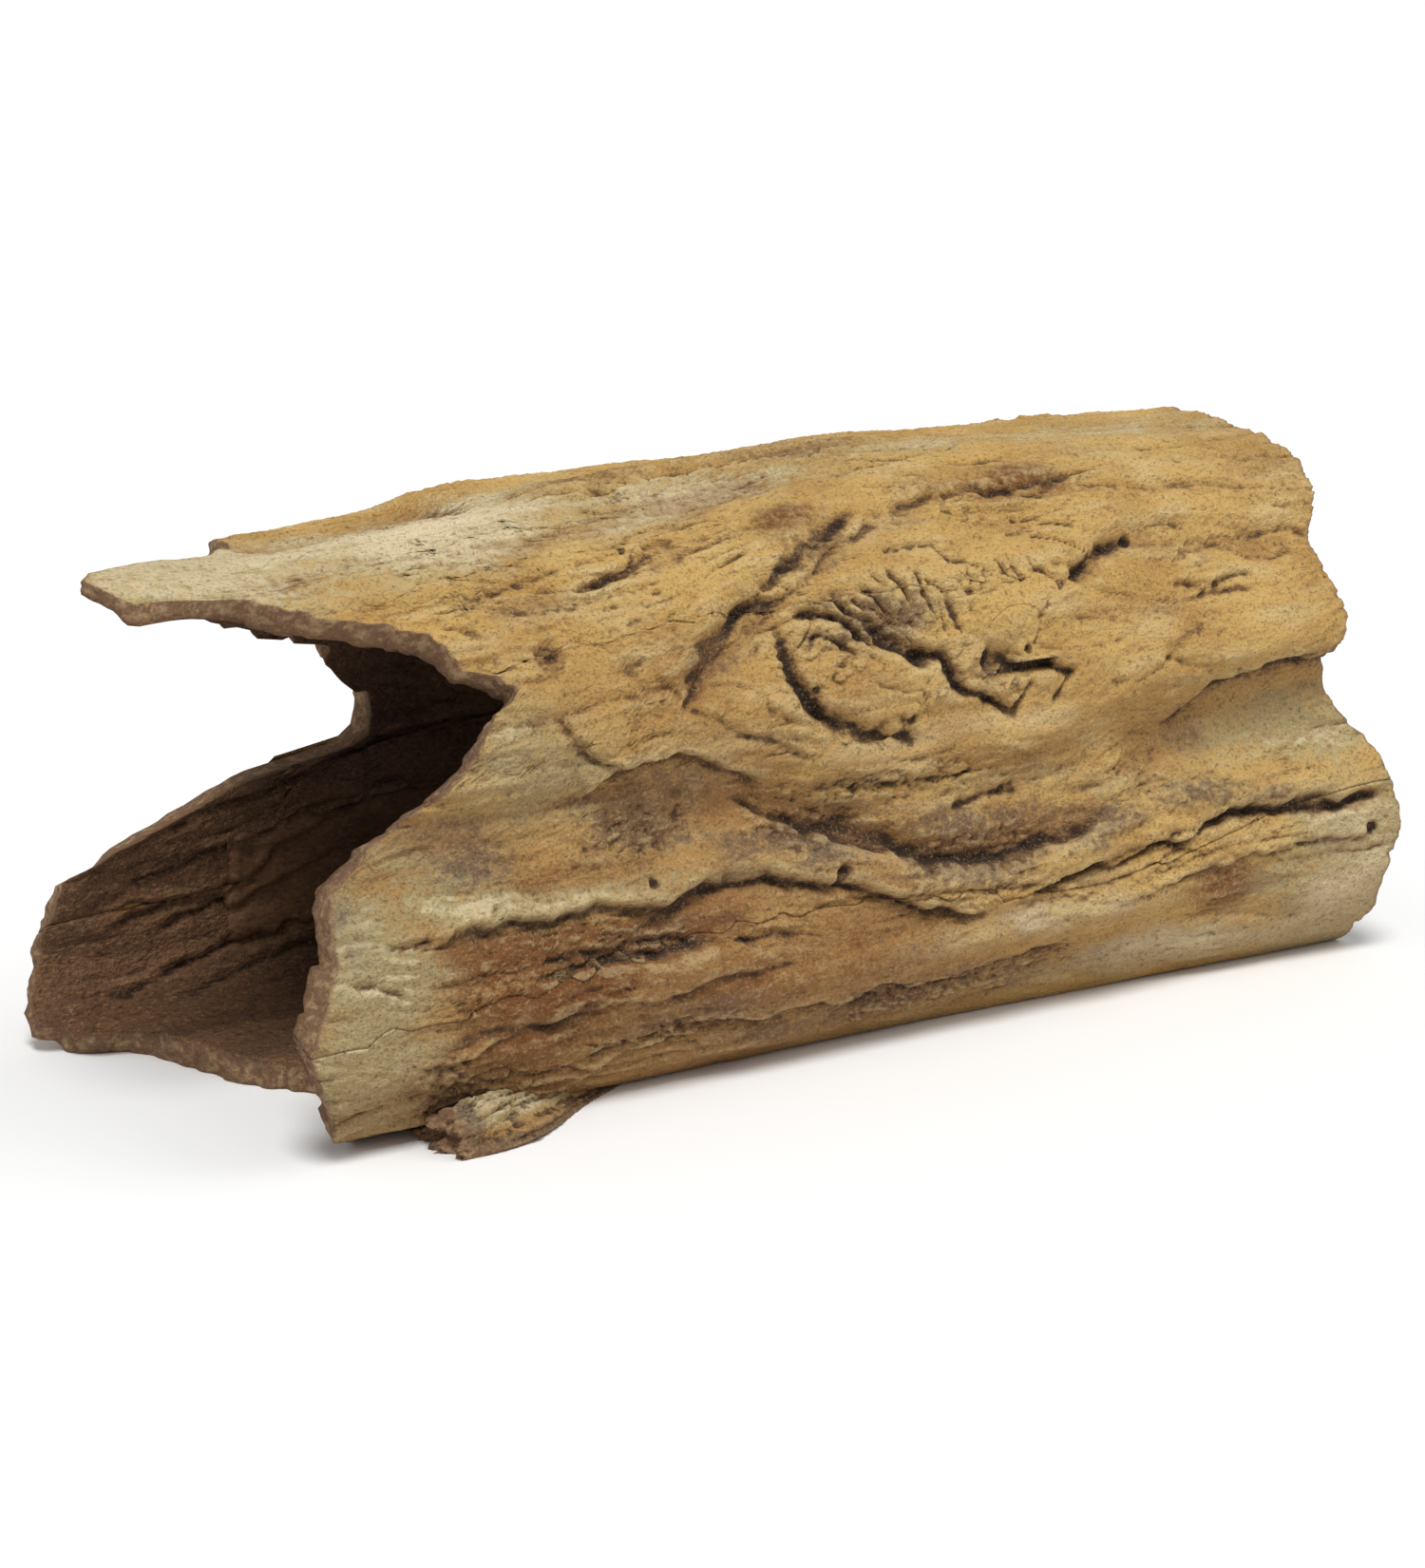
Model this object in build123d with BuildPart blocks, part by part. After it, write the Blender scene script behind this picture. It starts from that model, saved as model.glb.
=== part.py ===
"""Hollow log cave for a pond or aquarium, cast in filled resin as two half shells that are bonded together.

Lengths are in millimetres. +X runs along the log from the broken mouth to the tail, +Y to its far wall and
+Z up. The origin is the centre of the bounding box, on the surface that the log lies on.
"""

import math
import os

from build123d import *

# Overall sizes
LOG_LENGTH = 369.0  # from the tip of the roof's beak to the tail's longest lip
LOG_HEIGHT = 148.0  # from the base to the crest, at mid length
LOG_WIDTH = 128.0  # across the upper bulges, at mid length

# Walls and bonds
WALL = 8.0
SEAM_BOND = 0.8  # thickness of the filler between the two half shells
PIECE_BOND = 0.5  # adhesive under a piece that is bonded on
STRIP = 1.4  # thickness of the mat that is laid over each seam inside
STRIP_WIDTH = 26.0
STRIP_MOUTH_MARGIN = 66.0  # from the beak's tip to the strips' ends
STRIP_TAIL_MARGIN = 14.0

# Heights of the section's points, as shares of that section's crest
ROOF_LEVEL, SHOULDER_LEVEL, BULGE_LEVEL = 0.965, 0.80, 0.63
WAIST_LEVEL, BELLY_LEVEL, HEEL_LEVEL = 0.50, 0.31, 0.09
# Half widths there, as shares of the upper bulge's half width
ROOF_SHARE, SHOULDER_SHARE, WAIST_SHARE = 0.53, 0.87, 0.96
FAR_SLIMMER = 3.0  # the far wall's belly and heel stand this much closer in than the near wall's

# Sections along the log: share of its length, crest above or below LOG_HEIGHT, half width of the bulge
# above or below half LOG_WIDTH, and the half widths of the belly, heel and foot beyond the bulge's
SECTIONS = (
    (-0.04, -9.5, -6.0, 8.0, 8.0, -4.0),
    (0.24, -7.0, -2.0, 6.0, 4.0, -10.0),
    (0.50, -1.0, 0.0, 4.0, -2.0, -13.0),
    (0.76, 0.0, 0.0, 5.0, -2.0, -12.0),
    (1.04, -2.0, -2.0, 8.0, 6.0, -8.0),
)

# Parting seam between the half shells: distance from the beak's tip and height
SEAM = (
    (-20.0, 31.0), (68.0, 35.0), (123.0, 41.0), (203.0, 42.0), (258.0, 37.0), (323.0, 47.0), (400.0, 46.0),
)

# Broken edges of the mouth, as distances back from the beak's tip
ROOF_CUT_LEVEL = 108.0  # above it the roof is cut by its plan, below it the walls by their profiles
FLOOR_CUT_LEVEL = 9.0  # the floor is cut by its plan below this height
BEAK_PLAN = (  # (setback, y) from the near notch round the beak's tip to the far wall
    (92.0, -90.0), (92.0, -57.0), (84.0, -51.0), (69.0, -41.5), (57.0, -39.0), (33.0, -32.0), (20.0, -29.5),
    (8.0, -33.0), (0.0, -23.0), (3.0, -18.0), (17.0, -10.0), (31.0, -4.0), (45.0, 6.0), (51.0, 25.0),
    (54.0, 42.0), (71.0, 50.0), (75.0, 90.0),
)
NEAR_WALL_PROFILE = (  # (setback, height)
    (92.0, 108.0), (90.5, 103.0), (79.0, 95.0), (70.0, 86.0), (61.0, 79.0), (46.0, 71.0), (36.0, 63.0),
    (33.0, 48.0), (28.0, 38.0), (23.0, 30.0), (27.0, 20.0), (34.0, 9.0),
)
FAR_WALL_PROFILE = (
    (75.0, 108.0), (84.0, 106.0), (95.0, 103.0), (97.0, 95.0), (103.0, 88.0), (110.5, 80.0), (107.0, 71.0),
    (88.0, 67.0), (68.0, 65.0), (48.0, 56.0), (33.0, 49.0), (19.0, 42.0), (16.0, 30.0), (13.0, 18.0),
    (10.0, 9.0),
)
FLOOR_PLAN = (  # (setback, y)
    (34.0, -90.0), (36.0, -63.0), (43.0, -50.0), (49.0, -32.0), (54.0, -14.0), (46.0, -4.0), (39.0, 8.0),
    (36.0, 27.0), (30.0, 42.0), (17.0, 50.0), (12.0, 64.0), (10.0, 90.0),
)

# Broken edges of the tail, as (distance in from the tail's end, height)
NEAR_TAIL_PROFILE = (
    (16.0, 160.0), (15.0, 142.0), (12.5, 131.0), (22.0, 116.0), (17.0, 96.0), (19.0, 82.0), (15.0, 71.0),
    (6.0, 62.0), (2.0, 52.0), (3.5, 46.0), (0.0, 41.0), (3.0, 31.0), (6.0, 21.0), (5.0, 9.0), (10.0, -5.0),
)
FAR_TAIL_PROFILE = (
    (16.0, 160.0), (15.0, 142.0), (11.0, 128.0), (18.0, 110.0), (13.0, 92.0), (21.0, 76.0), (11.0, 58.0),
    (4.0, 44.0), (9.0, 30.0), (5.0, 9.0), (10.0, -5.0),
)

# Knot boss and broken branch stub, bonded into recesses in the near wall
RECESS_DEPTH = 4.0
KNOT_SETBACK, KNOT_HEIGHT = 189.0, 98.0
KNOT_LENGTH, KNOT_TALL, KNOT_STANDS_PROUD = 34.0, 32.0, 3.5
STUB_SETBACK, STUB_HEIGHT = 237.0, 100.0
STUB_LENGTH, STUB_TALL, STUB_STANDS_PROUD = 26.0, 24.0, 4.5
STUB_PIT_RADIUS, STUB_PIT_DEPTH = 4.0, 5.5
PIECE_ROUNDING = 2.0

# Root splinter, bonded along the near foot: setback, how far its centre lies beyond half LOG_WIDTH, half
# width and height of each section
SPLINTER_SECTIONS = (
    (58.0, 6.0, 10.0, 13.0),
    (78.0, 2.0, 12.0, 15.0),
    (100.0, -6.0, 13.0, 13.0),
    (126.0, -14.0, 8.0, 8.0),
)

BEYOND = 60.0  # how far a cutter runs past the log
MOUTH_X, TAIL_X = -LOG_LENGTH / 2, LOG_LENGTH / 2


def half_outline(bulge, belly, heel, foot, crest):
    """Points of one wall from the foot up to the roof, as (half width, height)."""
    return [
        (foot, 0.0),
        (heel, HEEL_LEVEL * crest),
        (belly, BELLY_LEVEL * crest),
        (WAIST_SHARE * bulge, WAIST_LEVEL * crest),
        (bulge, BULGE_LEVEL * crest),
        (SHOULDER_SHARE * bulge, SHOULDER_LEVEL * crest),
        (ROOF_SHARE * bulge, ROOF_LEVEL * crest),
    ]


def outline(section, inset):
    """The section's points from the far foot over the crest to the near foot, moved in by inset."""
    _, crest_change, bulge_change, belly_more, heel_more, foot_more = section
    crest = LOG_HEIGHT + crest_change
    bulge = LOG_WIDTH / 2 + bulge_change
    near = half_outline(bulge, bulge + belly_more, bulge + heel_more, bulge + foot_more, crest)
    far_belly, far_heel = bulge + belly_more - FAR_SLIMMER, bulge + heel_more - FAR_SLIMMER
    far = half_outline(bulge, far_belly, far_heel, bulge + foot_more, crest)
    points = [Vector(y, z) for y, z in far] + [Vector(0, crest)] + [Vector(-y, z) for y, z in reversed(near)]
    moved = []
    for before, point, after in zip(points, points[1:], points[2:]):
        along = (after - before).normalized()
        moved.append(point + Vector(-along.Y, along.X) * inset)
    return [foot_corner(points[0], points[1], inset), *moved, foot_corner(points[-1], points[-2], inset)]


def foot_corner(foot, heel, inset):
    """Where the wall between foot and heel, moved in by inset, meets the floor's upper face."""
    rise = (heel - foot).normalized()
    inward = -math.copysign(1.0, foot.X)
    wall_foot = foot + Vector(inward * abs(rise.Y), abs(rise.X)) * inset
    return wall_foot + rise * ((inset - wall_foot.Y) / rise.Y)


def log_form(inset):
    """The log without its mouth and tail, moved in by inset on every side, with a flat underside."""
    with BuildPart() as form:
        for section in SECTIONS:
            with BuildSketch(Plane.YZ.offset(MOUTH_X + section[0] * LOG_LENGTH)):
                with BuildLine():
                    points = outline(section, inset)
                    below = Vector(0, -WALL)
                    Spline(*points)
                    Polyline(points[-1], points[-1] + below, points[0] + below, points[0])
                make_face()
        loft()
        split(bisect_by=Plane.XY.offset(inset))
    return form.part


def edge_prism(plane, edge, end_x, depth):
    """A prism that removes what lies between a broken edge, given as (x, height or y), and end_x."""
    with BuildPart() as prism:
        with BuildSketch(plane):
            with BuildLine():
                Polyline((end_x, edge[0][1]), *edge, (end_x, edge[-1][1]), close=True)
            make_face()
        extrude(amount=depth)
    return prism.part


def mouth_cutter():
    """Everything in front of the mouth's broken edge."""
    front = MOUTH_X - BEYOND
    high = LOG_HEIGHT - ROOF_CUT_LEVEL + BEYOND
    beak, near, far, floor = (
        [(MOUTH_X + setback, across) for setback, across in profile]
        for profile in (BEAK_PLAN, NEAR_WALL_PROFILE, FAR_WALL_PROFILE, FLOOR_PLAN)
    )
    with BuildPart() as cutter:
        add(edge_prism(Plane.XY.offset(ROOF_CUT_LEVEL), beak, front, high))
        add(edge_prism(Plane.XZ, near, front, LOG_WIDTH))
        add(edge_prism(Plane.XZ, far, front, -LOG_WIDTH))
        add(edge_prism(Plane.XY.offset(FLOOR_CUT_LEVEL), floor, front, -FLOOR_CUT_LEVEL - BEYOND))
    return cutter.part


def tail_cutter():
    """Everything behind the tail's broken edge."""
    behind = TAIL_X + BEYOND
    near, far = ([(TAIL_X - x, z) for x, z in profile] for profile in (NEAR_TAIL_PROFILE, FAR_TAIL_PROFILE))
    with BuildPart() as cutter:
        add(edge_prism(Plane.XZ, near, behind, LOG_WIDTH))
        add(edge_prism(Plane.XZ, far, behind, -LOG_WIDTH))
    return cutter.part


def seam_band(below, above):
    """A slab along the parting seam, from below it to above it."""
    with BuildPart() as band:
        with BuildSketch(Plane.XZ.offset(-LOG_WIDTH)):
            with BuildLine():
                low = Spline(*[(MOUTH_X + x, z - below) for x, z in SEAM])
                high = Spline(*[(MOUTH_X + x, z + above) for x, z in SEAM])
                Line(low @ 0, high @ 0)
                Line(low @ 1, high @ 1)
            make_face()
        extrude(amount=2 * LOG_WIDTH)
    return band.part


def wall_plane(setback, height, skin):
    """The plane on the near wall's outer surface at this place, facing outwards."""
    line = Axis((MOUTH_X + setback, -LOG_WIDTH, height), (0, 1, 0))
    point, normal = min(skin.find_intersection_points(line), key=lambda hit: hit[0].Y)
    return Plane(origin=point, x_dir=(1, 0, 0), z_dir=normal)


def recess(plane, length, tall):
    """The space that a boss and its adhesive fill, open past the wall's outer surface."""
    with BuildPart() as space:
        with BuildSketch(plane.offset(-RECESS_DEPTH - PIECE_BOND)):
            Ellipse(length / 2 + PIECE_BOND, tall / 2 + PIECE_BOND)
        extrude(amount=RECESS_DEPTH + PIECE_BOND + WALL)
    return space.part


def splinter_form():
    """The root splinter before the log's own foot is taken out of it."""
    with BuildPart() as form:
        for setback, beyond, half_width, height in SPLINTER_SECTIONS:
            y = -LOG_WIDTH / 2 - beyond
            outer, inner = (y - half_width, 0), (y + half_width, 0)
            with BuildSketch(Plane.YZ.offset(MOUTH_X + setback)):
                with BuildLine():
                    Spline(outer, (y - half_width / 2, 0.75 * height), (y + half_width / 2, height), inner)
                    Line(inner, outer)
                make_face()
        loft()
    return form.part


log_solid = log_form(0)
cavity = log_form(WALL)

with BuildPart() as tube:
    add(log_solid)
    add(cavity, mode=Mode.SUBTRACT)
    add(mouth_cutter(), mode=Mode.SUBTRACT)
    add(tail_cutter(), mode=Mode.SUBTRACT)

with BuildPart() as seam_strips:
    add(cavity)
    add(log_form(WALL + STRIP), mode=Mode.SUBTRACT)
    add(seam_band(STRIP_WIDTH / 2, STRIP_WIDTH / 2), mode=Mode.INTERSECT)
    split(bisect_by=Plane.YZ.offset(MOUTH_X + STRIP_MOUTH_MARGIN))
    split(bisect_by=Plane.YZ.offset(TAIL_X - STRIP_TAIL_MARGIN), keep=Keep.BOTTOM)

knot_plane = wall_plane(KNOT_SETBACK, KNOT_HEIGHT, log_solid)
stub_plane = wall_plane(STUB_SETBACK, STUB_HEIGHT, log_solid)
knot_recess = recess(knot_plane, KNOT_LENGTH, KNOT_TALL)
stub_recess = recess(stub_plane, STUB_LENGTH, STUB_TALL)

# Upper half shell: walls above the seam and the roof
with BuildPart() as upper_shell:
    add(tube.part)
    add(seam_band(2 * LOG_HEIGHT, SEAM_BOND / 2), mode=Mode.SUBTRACT)
    add(knot_recess, mode=Mode.SUBTRACT)
    add(stub_recess, mode=Mode.SUBTRACT)

# Lower half shell: floor and the walls below the seam
with BuildPart() as lower_shell:
    add(tube.part)
    add(seam_band(SEAM_BOND / 2, 2 * LOG_HEIGHT), mode=Mode.SUBTRACT)

# Filler in the two seams
with BuildPart() as near_seam_bond:
    add(tube.part)
    add(seam_band(SEAM_BOND / 2, SEAM_BOND / 2), mode=Mode.INTERSECT)
    split(bisect_by=Plane.XZ)

with BuildPart() as far_seam_bond:
    add(tube.part)
    add(seam_band(SEAM_BOND / 2, SEAM_BOND / 2), mode=Mode.INTERSECT)
    split(bisect_by=Plane.XZ, keep=Keep.BOTTOM)

# Mats over the two seams inside
with BuildPart() as near_seam_strip:
    add(seam_strips.part)
    split(bisect_by=Plane.XZ)

with BuildPart() as far_seam_strip:
    add(seam_strips.part)
    split(bisect_by=Plane.XZ, keep=Keep.BOTTOM)

# Knot: a boss that fills its recess down to the adhesive and stands proud of the wall
with BuildPart() as knot_boss:
    with BuildSketch(knot_plane.offset(-RECESS_DEPTH)):
        Ellipse(KNOT_LENGTH / 2, KNOT_TALL / 2)
    extrude(amount=RECESS_DEPTH + KNOT_STANDS_PROUD)
    knot_top = knot_boss.faces().sort_by(Axis(knot_plane.origin, knot_plane.z_dir))[-1]
    fillet(knot_top.edges(), radius=PIECE_ROUNDING)

with BuildPart() as knot_bond:
    add(knot_recess)
    add(log_solid, mode=Mode.INTERSECT)
    add(knot_boss.part, mode=Mode.SUBTRACT)

# Branch stub: the same, with a rotted pit in its end
with BuildPart() as stub_form:
    with BuildSketch(stub_plane.offset(-RECESS_DEPTH)):
        Ellipse(STUB_LENGTH / 2, STUB_TALL / 2)
    extrude(amount=RECESS_DEPTH + STUB_STANDS_PROUD)
    stub_top = stub_form.faces().sort_by(Axis(stub_plane.origin, stub_plane.z_dir))[-1]
    fillet(stub_top.edges(), radius=PIECE_ROUNDING)

with BuildPart() as branch_stub:
    add(stub_form.part)
    with Locations(stub_plane.offset(STUB_STANDS_PROUD)):
        Hole(STUB_PIT_RADIUS, depth=STUB_PIT_DEPTH)

with BuildPart() as stub_bond:
    add(stub_recess)
    add(log_solid, mode=Mode.INTERSECT)
    add(stub_form.part, mode=Mode.SUBTRACT)

# Root splinter along the near foot, and its adhesive
with BuildPart() as root_splinter:
    add(splinter_form())
    add(log_form(-PIECE_BOND), mode=Mode.SUBTRACT)

with BuildPart() as splinter_bond:
    add(splinter_form())
    add(log_form(-PIECE_BOND), mode=Mode.INTERSECT)
    add(log_solid, mode=Mode.SUBTRACT)

pieces = {
    "upper_shell": upper_shell,
    "lower_shell": lower_shell,
    "near_seam_bond": near_seam_bond,
    "far_seam_bond": far_seam_bond,
    "near_seam_strip": near_seam_strip,
    "far_seam_strip": far_seam_strip,
    "knot_boss": knot_boss,
    "knot_bond": knot_bond,
    "branch_stub": branch_stub,
    "stub_bond": stub_bond,
    "root_splinter": root_splinter,
    "splinter_bond": splinter_bond,
}

# Put the origin under the middle of the whole cave, and write the pieces
box = Compound([piece.part for piece in pieces.values()]).bounding_box()
to_origin = Location((-box.center().X, -box.center().Y, -box.min.Z))

os.makedirs("parts", exist_ok=True)
for name, piece in pieces.items():
    placed = piece.part.moved(to_origin)
    placed.label = name
    export_step(placed, f"parts/{name}.step")
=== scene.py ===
"""Looks of the hollow log cave: bark, knots, broken rims and paint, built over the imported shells.

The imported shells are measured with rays, and each piece is then built as a closed grid on those surfaces.
Lengths are in millimetres until a mesh is made. A place on the log's outside is (x, s): x along the log, and s
along the girth from the crest, positive down the near wall and negative down the far one.
"""

import math

import bmesh
import bpy
import numpy as np
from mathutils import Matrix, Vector
from mathutils.bvhtree import BVHTree


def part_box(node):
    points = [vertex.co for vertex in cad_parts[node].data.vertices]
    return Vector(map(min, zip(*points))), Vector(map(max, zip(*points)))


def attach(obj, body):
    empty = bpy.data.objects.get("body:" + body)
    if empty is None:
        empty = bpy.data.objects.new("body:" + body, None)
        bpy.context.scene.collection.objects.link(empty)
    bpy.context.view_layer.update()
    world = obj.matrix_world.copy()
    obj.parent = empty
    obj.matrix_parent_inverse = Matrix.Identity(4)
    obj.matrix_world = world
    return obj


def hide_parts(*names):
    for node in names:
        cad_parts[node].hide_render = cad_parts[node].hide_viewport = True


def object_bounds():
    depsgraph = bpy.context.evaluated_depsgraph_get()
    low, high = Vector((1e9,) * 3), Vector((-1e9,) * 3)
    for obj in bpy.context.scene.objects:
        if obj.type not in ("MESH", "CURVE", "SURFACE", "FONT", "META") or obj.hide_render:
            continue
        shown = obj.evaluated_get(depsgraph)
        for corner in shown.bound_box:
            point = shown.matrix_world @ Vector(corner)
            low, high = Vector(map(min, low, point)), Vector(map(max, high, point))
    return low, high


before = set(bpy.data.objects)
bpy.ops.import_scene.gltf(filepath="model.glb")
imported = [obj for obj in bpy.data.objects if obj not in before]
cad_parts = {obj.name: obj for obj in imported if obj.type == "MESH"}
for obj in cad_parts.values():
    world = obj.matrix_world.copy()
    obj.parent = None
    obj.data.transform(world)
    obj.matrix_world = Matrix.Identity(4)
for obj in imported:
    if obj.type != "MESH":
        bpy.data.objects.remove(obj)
cad_low, cad_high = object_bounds()

SPACING = 0.62  # between the points of the near wall's grid
COARSE = 1.3  # on the far wall and inside
MM = 1000  # millimetres in a metre
TIP, FLOOR = cad_low.x * MM, cad_low.z * MM
TAU = 2 * math.pi

# ---------------------------------------------------------------------------------------------- noise


def hashed(i, j, k, seed):
    """A whole number for each cell, always the same for a seed."""
    h = i * np.uint32(374761393) + j * np.uint32(668265263) + k * np.uint32(2246822519) + np.uint32(seed * 974711)
    h = (h ^ (h >> np.uint32(13))) * np.uint32(1274126177)
    return h ^ (h >> np.uint32(16))


def noise(p, seed=0):
    """Gradient noise at points p, from about -1 to 1."""
    cell = np.floor(p)
    f = (p - cell).astype(np.float32)
    c = cell.astype(np.int64).astype(np.uint32)
    fade = f * f * f * (f * (f * 6 - 15) + 10)
    total = np.zeros(p.shape[:-1], np.float32)
    for corner in range(8):
        o = np.array([corner & 1, corner >> 1 & 1, corner >> 2 & 1])
        h = hashed(*(c[..., a] + np.uint32(o[a]) for a in range(3)), seed)
        weight, dot = 1.0, 0.0
        for a in range(3):
            slope = ((h >> np.uint32(10 * a)) & np.uint32(1023)).astype(np.float32) / 511.5 - 1
            dot = dot + slope * (f[..., a] - o[a])
            weight = weight * (fade[..., a] if o[a] else 1 - fade[..., a])
        total += weight * dot
    return total * 1.6


def fbm(p, octaves=4, seed=0):
    """Noise with finer noise of half its size added, again and again."""
    return sum(0.5**n * noise(p * 2.03**n, seed + 17 * n) for n in range(octaves))


def creases(p, octaves=3, seed=0):
    """Noise with sharp valleys: 0 in a crease and up to 1 between them."""
    total, size, most = 0.0, 1.0, 0.0
    for n in range(octaves):
        total = total + size * np.minimum(1, 2.2 * np.abs(noise(p * 2.1**n, seed + 31 * n)))
        most += size
        size *= 0.5
    return total / most


def smooth(low, high, v):
    """0 before low and 1 after high, with soft ends."""
    t = np.clip((v - low) / (high - low), 0, 1)
    return t * t * (3 - 2 * t)


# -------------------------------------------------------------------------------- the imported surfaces


def node_mesh(*names):
    """The nodes' points and faces in one, in millimetres."""
    points, faces = [], []
    for name in names:
        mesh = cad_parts[name].data
        start = len(points)
        points += [tuple(v.co * MM) for v in mesh.vertices]
        faces += [[start + v for v in f.vertices] for f in mesh.polygons]
    return points, faces


walls = BVHTree.FromPolygons(*node_mesh("upper_shell", "lower_shell", "near_seam_bond", "far_seam_bond"))
AXIS_Y = MM / 2 * (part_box("near_seam_strip")[1].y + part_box("far_seam_strip")[0].y)
AXIS_Z = 0.43 * MM * cad_high.z
TABLE_STEP, WHOLE_WALL = 2.5, 7.0  # between measured sections, and the least thickness away from broken ends
RAY = 160  # further from the axis than any wall
XS = np.arange(TIP + 0.5, cad_high.x * MM, TABLE_STEP)
ANGLES = np.linspace(-math.pi, math.pi, 289)[:-1]


def cast(x, angle, outside):
    """How far the wall's outer or inner face is from the axis, or nan. Angle 0 is up and positive is near."""
    way = Vector((0, -math.sin(angle), math.cos(angle)))
    axis = Vector((x, AXIS_Y, AXIS_Z))
    if outside:
        hit = walls.ray_cast(axis + way * RAY, -way, RAY - 2)
        return RAY - hit[3] if hit[0] else math.nan
    hit = walls.ray_cast(axis, way, RAY)
    return hit[3] if hit[0] else math.nan


def measured(outside):
    """Radius by x and angle, nan where there is no wall."""
    return np.array([[cast(x, a, outside) for a in ANGLES] for x in XS])


outer_raw, inner_raw = measured(True), measured(False)


def filled(raw, good):
    """A table with its missing values carried on from their neighbours along the log."""
    table = np.empty_like(raw)
    for j in range(raw.shape[1]):
        known = np.flatnonzero(good[:, j])
        table[:, j] = np.interp(XS, XS[known], raw[known, j])
        for end, inward in ((known[0], 1), (known[-1], -1)):
            reach = known[(known - end) * inward <= 8]
            slope = np.polyfit(XS[reach], raw[reach, j], 1)[0] if len(reach) > 3 else 0
            beyond = (XS - XS[end]) * inward < 0
            table[beyond, j] += np.clip(slope, -0.15, 0.15) * (XS[beyond] - XS[end])
    return table


whole = np.nan_to_num(outer_raw - inner_raw) > WHOLE_WALL
OUTER, INNER = filled(outer_raw, whole), filled(inner_raw, whole)


def wall_end(j, towards_mouth):
    """Where the outer and inner face end at an angle, found by halving."""
    step = -1 if towards_mouth else 1
    ends = []
    for table, outside in ((outer_raw, True), (inner_raw, False)):
        i = len(XS) // 2
        while 0 <= i + step < len(XS) and not np.isnan(table[i + step, j]):
            i += step
        solid, gone = XS[i], XS[i] + step * TABLE_STEP
        for _ in range(6):
            middle = (solid + gone) / 2
            if math.isnan(cast(middle, ANGLES[j], outside)):
                gone = middle
            else:
                solid = middle
        ends.append(solid)
    return ends


mouth_ends = np.array([wall_end(j, True) for j in range(len(ANGLES))]).T
tail_ends = np.array([wall_end(j, False) for j in range(len(ANGLES))]).T


def at_angle(values, angle):
    """Values by angle, read at any angle."""
    return np.interp(angle, ANGLES, values, period=TAU)


def between(table, i, j):
    """A table read between its points. Its second axis runs round."""
    i0, j0 = np.floor(i).astype(int), np.floor(j).astype(int)
    fi, fj = i - i0, j - j0
    a, b = j0 % table.shape[1], (j0 + 1) % table.shape[1]
    low, high = (table[n, a] * (1 - fj) + table[n, b] * fj for n in (i0, i0 + 1))
    return low * (1 - fi) + high * fi


def section(x):
    """The place of x in XS."""
    return np.clip((x - XS[0]) / (XS[1] - XS[0]), 0, len(XS) - 1.001)


def radius(table, x, angle):
    """A table by x and angle, read anywhere."""
    return between(table, section(x), (angle - ANGLES[0]) / (ANGLES[1] - ANGLES[0]))


def point(table, x, angle):
    """Places on the measured outer or inner face."""
    r = radius(table, x, angle)
    return np.stack([x + 0 * r, AXIS_Y - r * np.sin(angle), AXIS_Z + r * np.cos(angle)], -1)


# Girth from the crest, by x and by an angle that runs on through the underside
FINE = np.linspace(-math.pi, 3 * math.pi, 1153)
ring = point(OUTER, XS[:, None], FINE[None, :])
run = np.concatenate([np.zeros((len(XS), 1)), np.cumsum(np.linalg.norm(np.diff(ring, axis=1), axis=2), 1)], 1)
GIRTH = run - np.array([np.interp(0, FINE, row) for row in run])[:, None]
PERIMETER = np.interp(TAU, FINE, GIRTH[len(XS) // 2])


def girth(x, angle):
    """Millimetres round the log from the crest."""
    j = np.clip((angle - FINE[0]) / (FINE[1] - FINE[0]), 0, len(FINE) - 1.001)
    return between(GIRTH, section(x), j)


def angle_at(x, s):
    """The angle at girth s, for arrays of places."""
    x, s = np.broadcast_arrays(np.asarray(x, float), np.asarray(s, float))
    i = np.clip(np.rint((x - XS[0]) / (XS[1] - XS[0])).astype(int), 0, len(XS) - 1)
    return np.array([np.interp(v, GIRTH[n], FINE) for n, v in zip(i.ravel(), s.ravel())]).reshape(x.shape)


def seam_angle(name):
    """The seam's angle along the log, at XS."""
    p = np.array(node_mesh(name)[0])
    angle = np.arctan2(-(p[:, 1] - AXIS_Y), p[:, 2] - AXIS_Z)
    bins = np.arange(p[:, 0].min(), p[:, 0].max() + 6, 6)
    where = np.digitize(p[:, 0], bins)
    full = [b for b in range(1, len(bins)) if (where == b).sum() > 1]
    middle = [p[where == b, 0].mean() for b in full]
    return np.interp(XS, middle, [angle[where == b].mean() for b in full])


NEAR_SEAM, FAR_SEAM = seam_angle("near_seam_bond"), seam_angle("far_seam_bond")


def oval(node):
    """A bonded boss's place on the wall: x, s and its half sizes along them."""
    low, high = (np.array(corner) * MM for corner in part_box(node))
    middle = (low + high) / 2
    angle = math.atan2(-(middle[1] - AXIS_Y), middle[2] - AXIS_Z)
    return middle[0], float(girth(np.array(middle[0]), np.array(angle))), (high - low)[0] / 2, (high - low)[2] / 2


RECESSES = [oval("knot_boss"), oval("branch_stub")]

# ------------------------------------------------------------------------------------- carved bark
# Grooves, ridges and folds are (width, depth or height, places). A place is (x, s).

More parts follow.
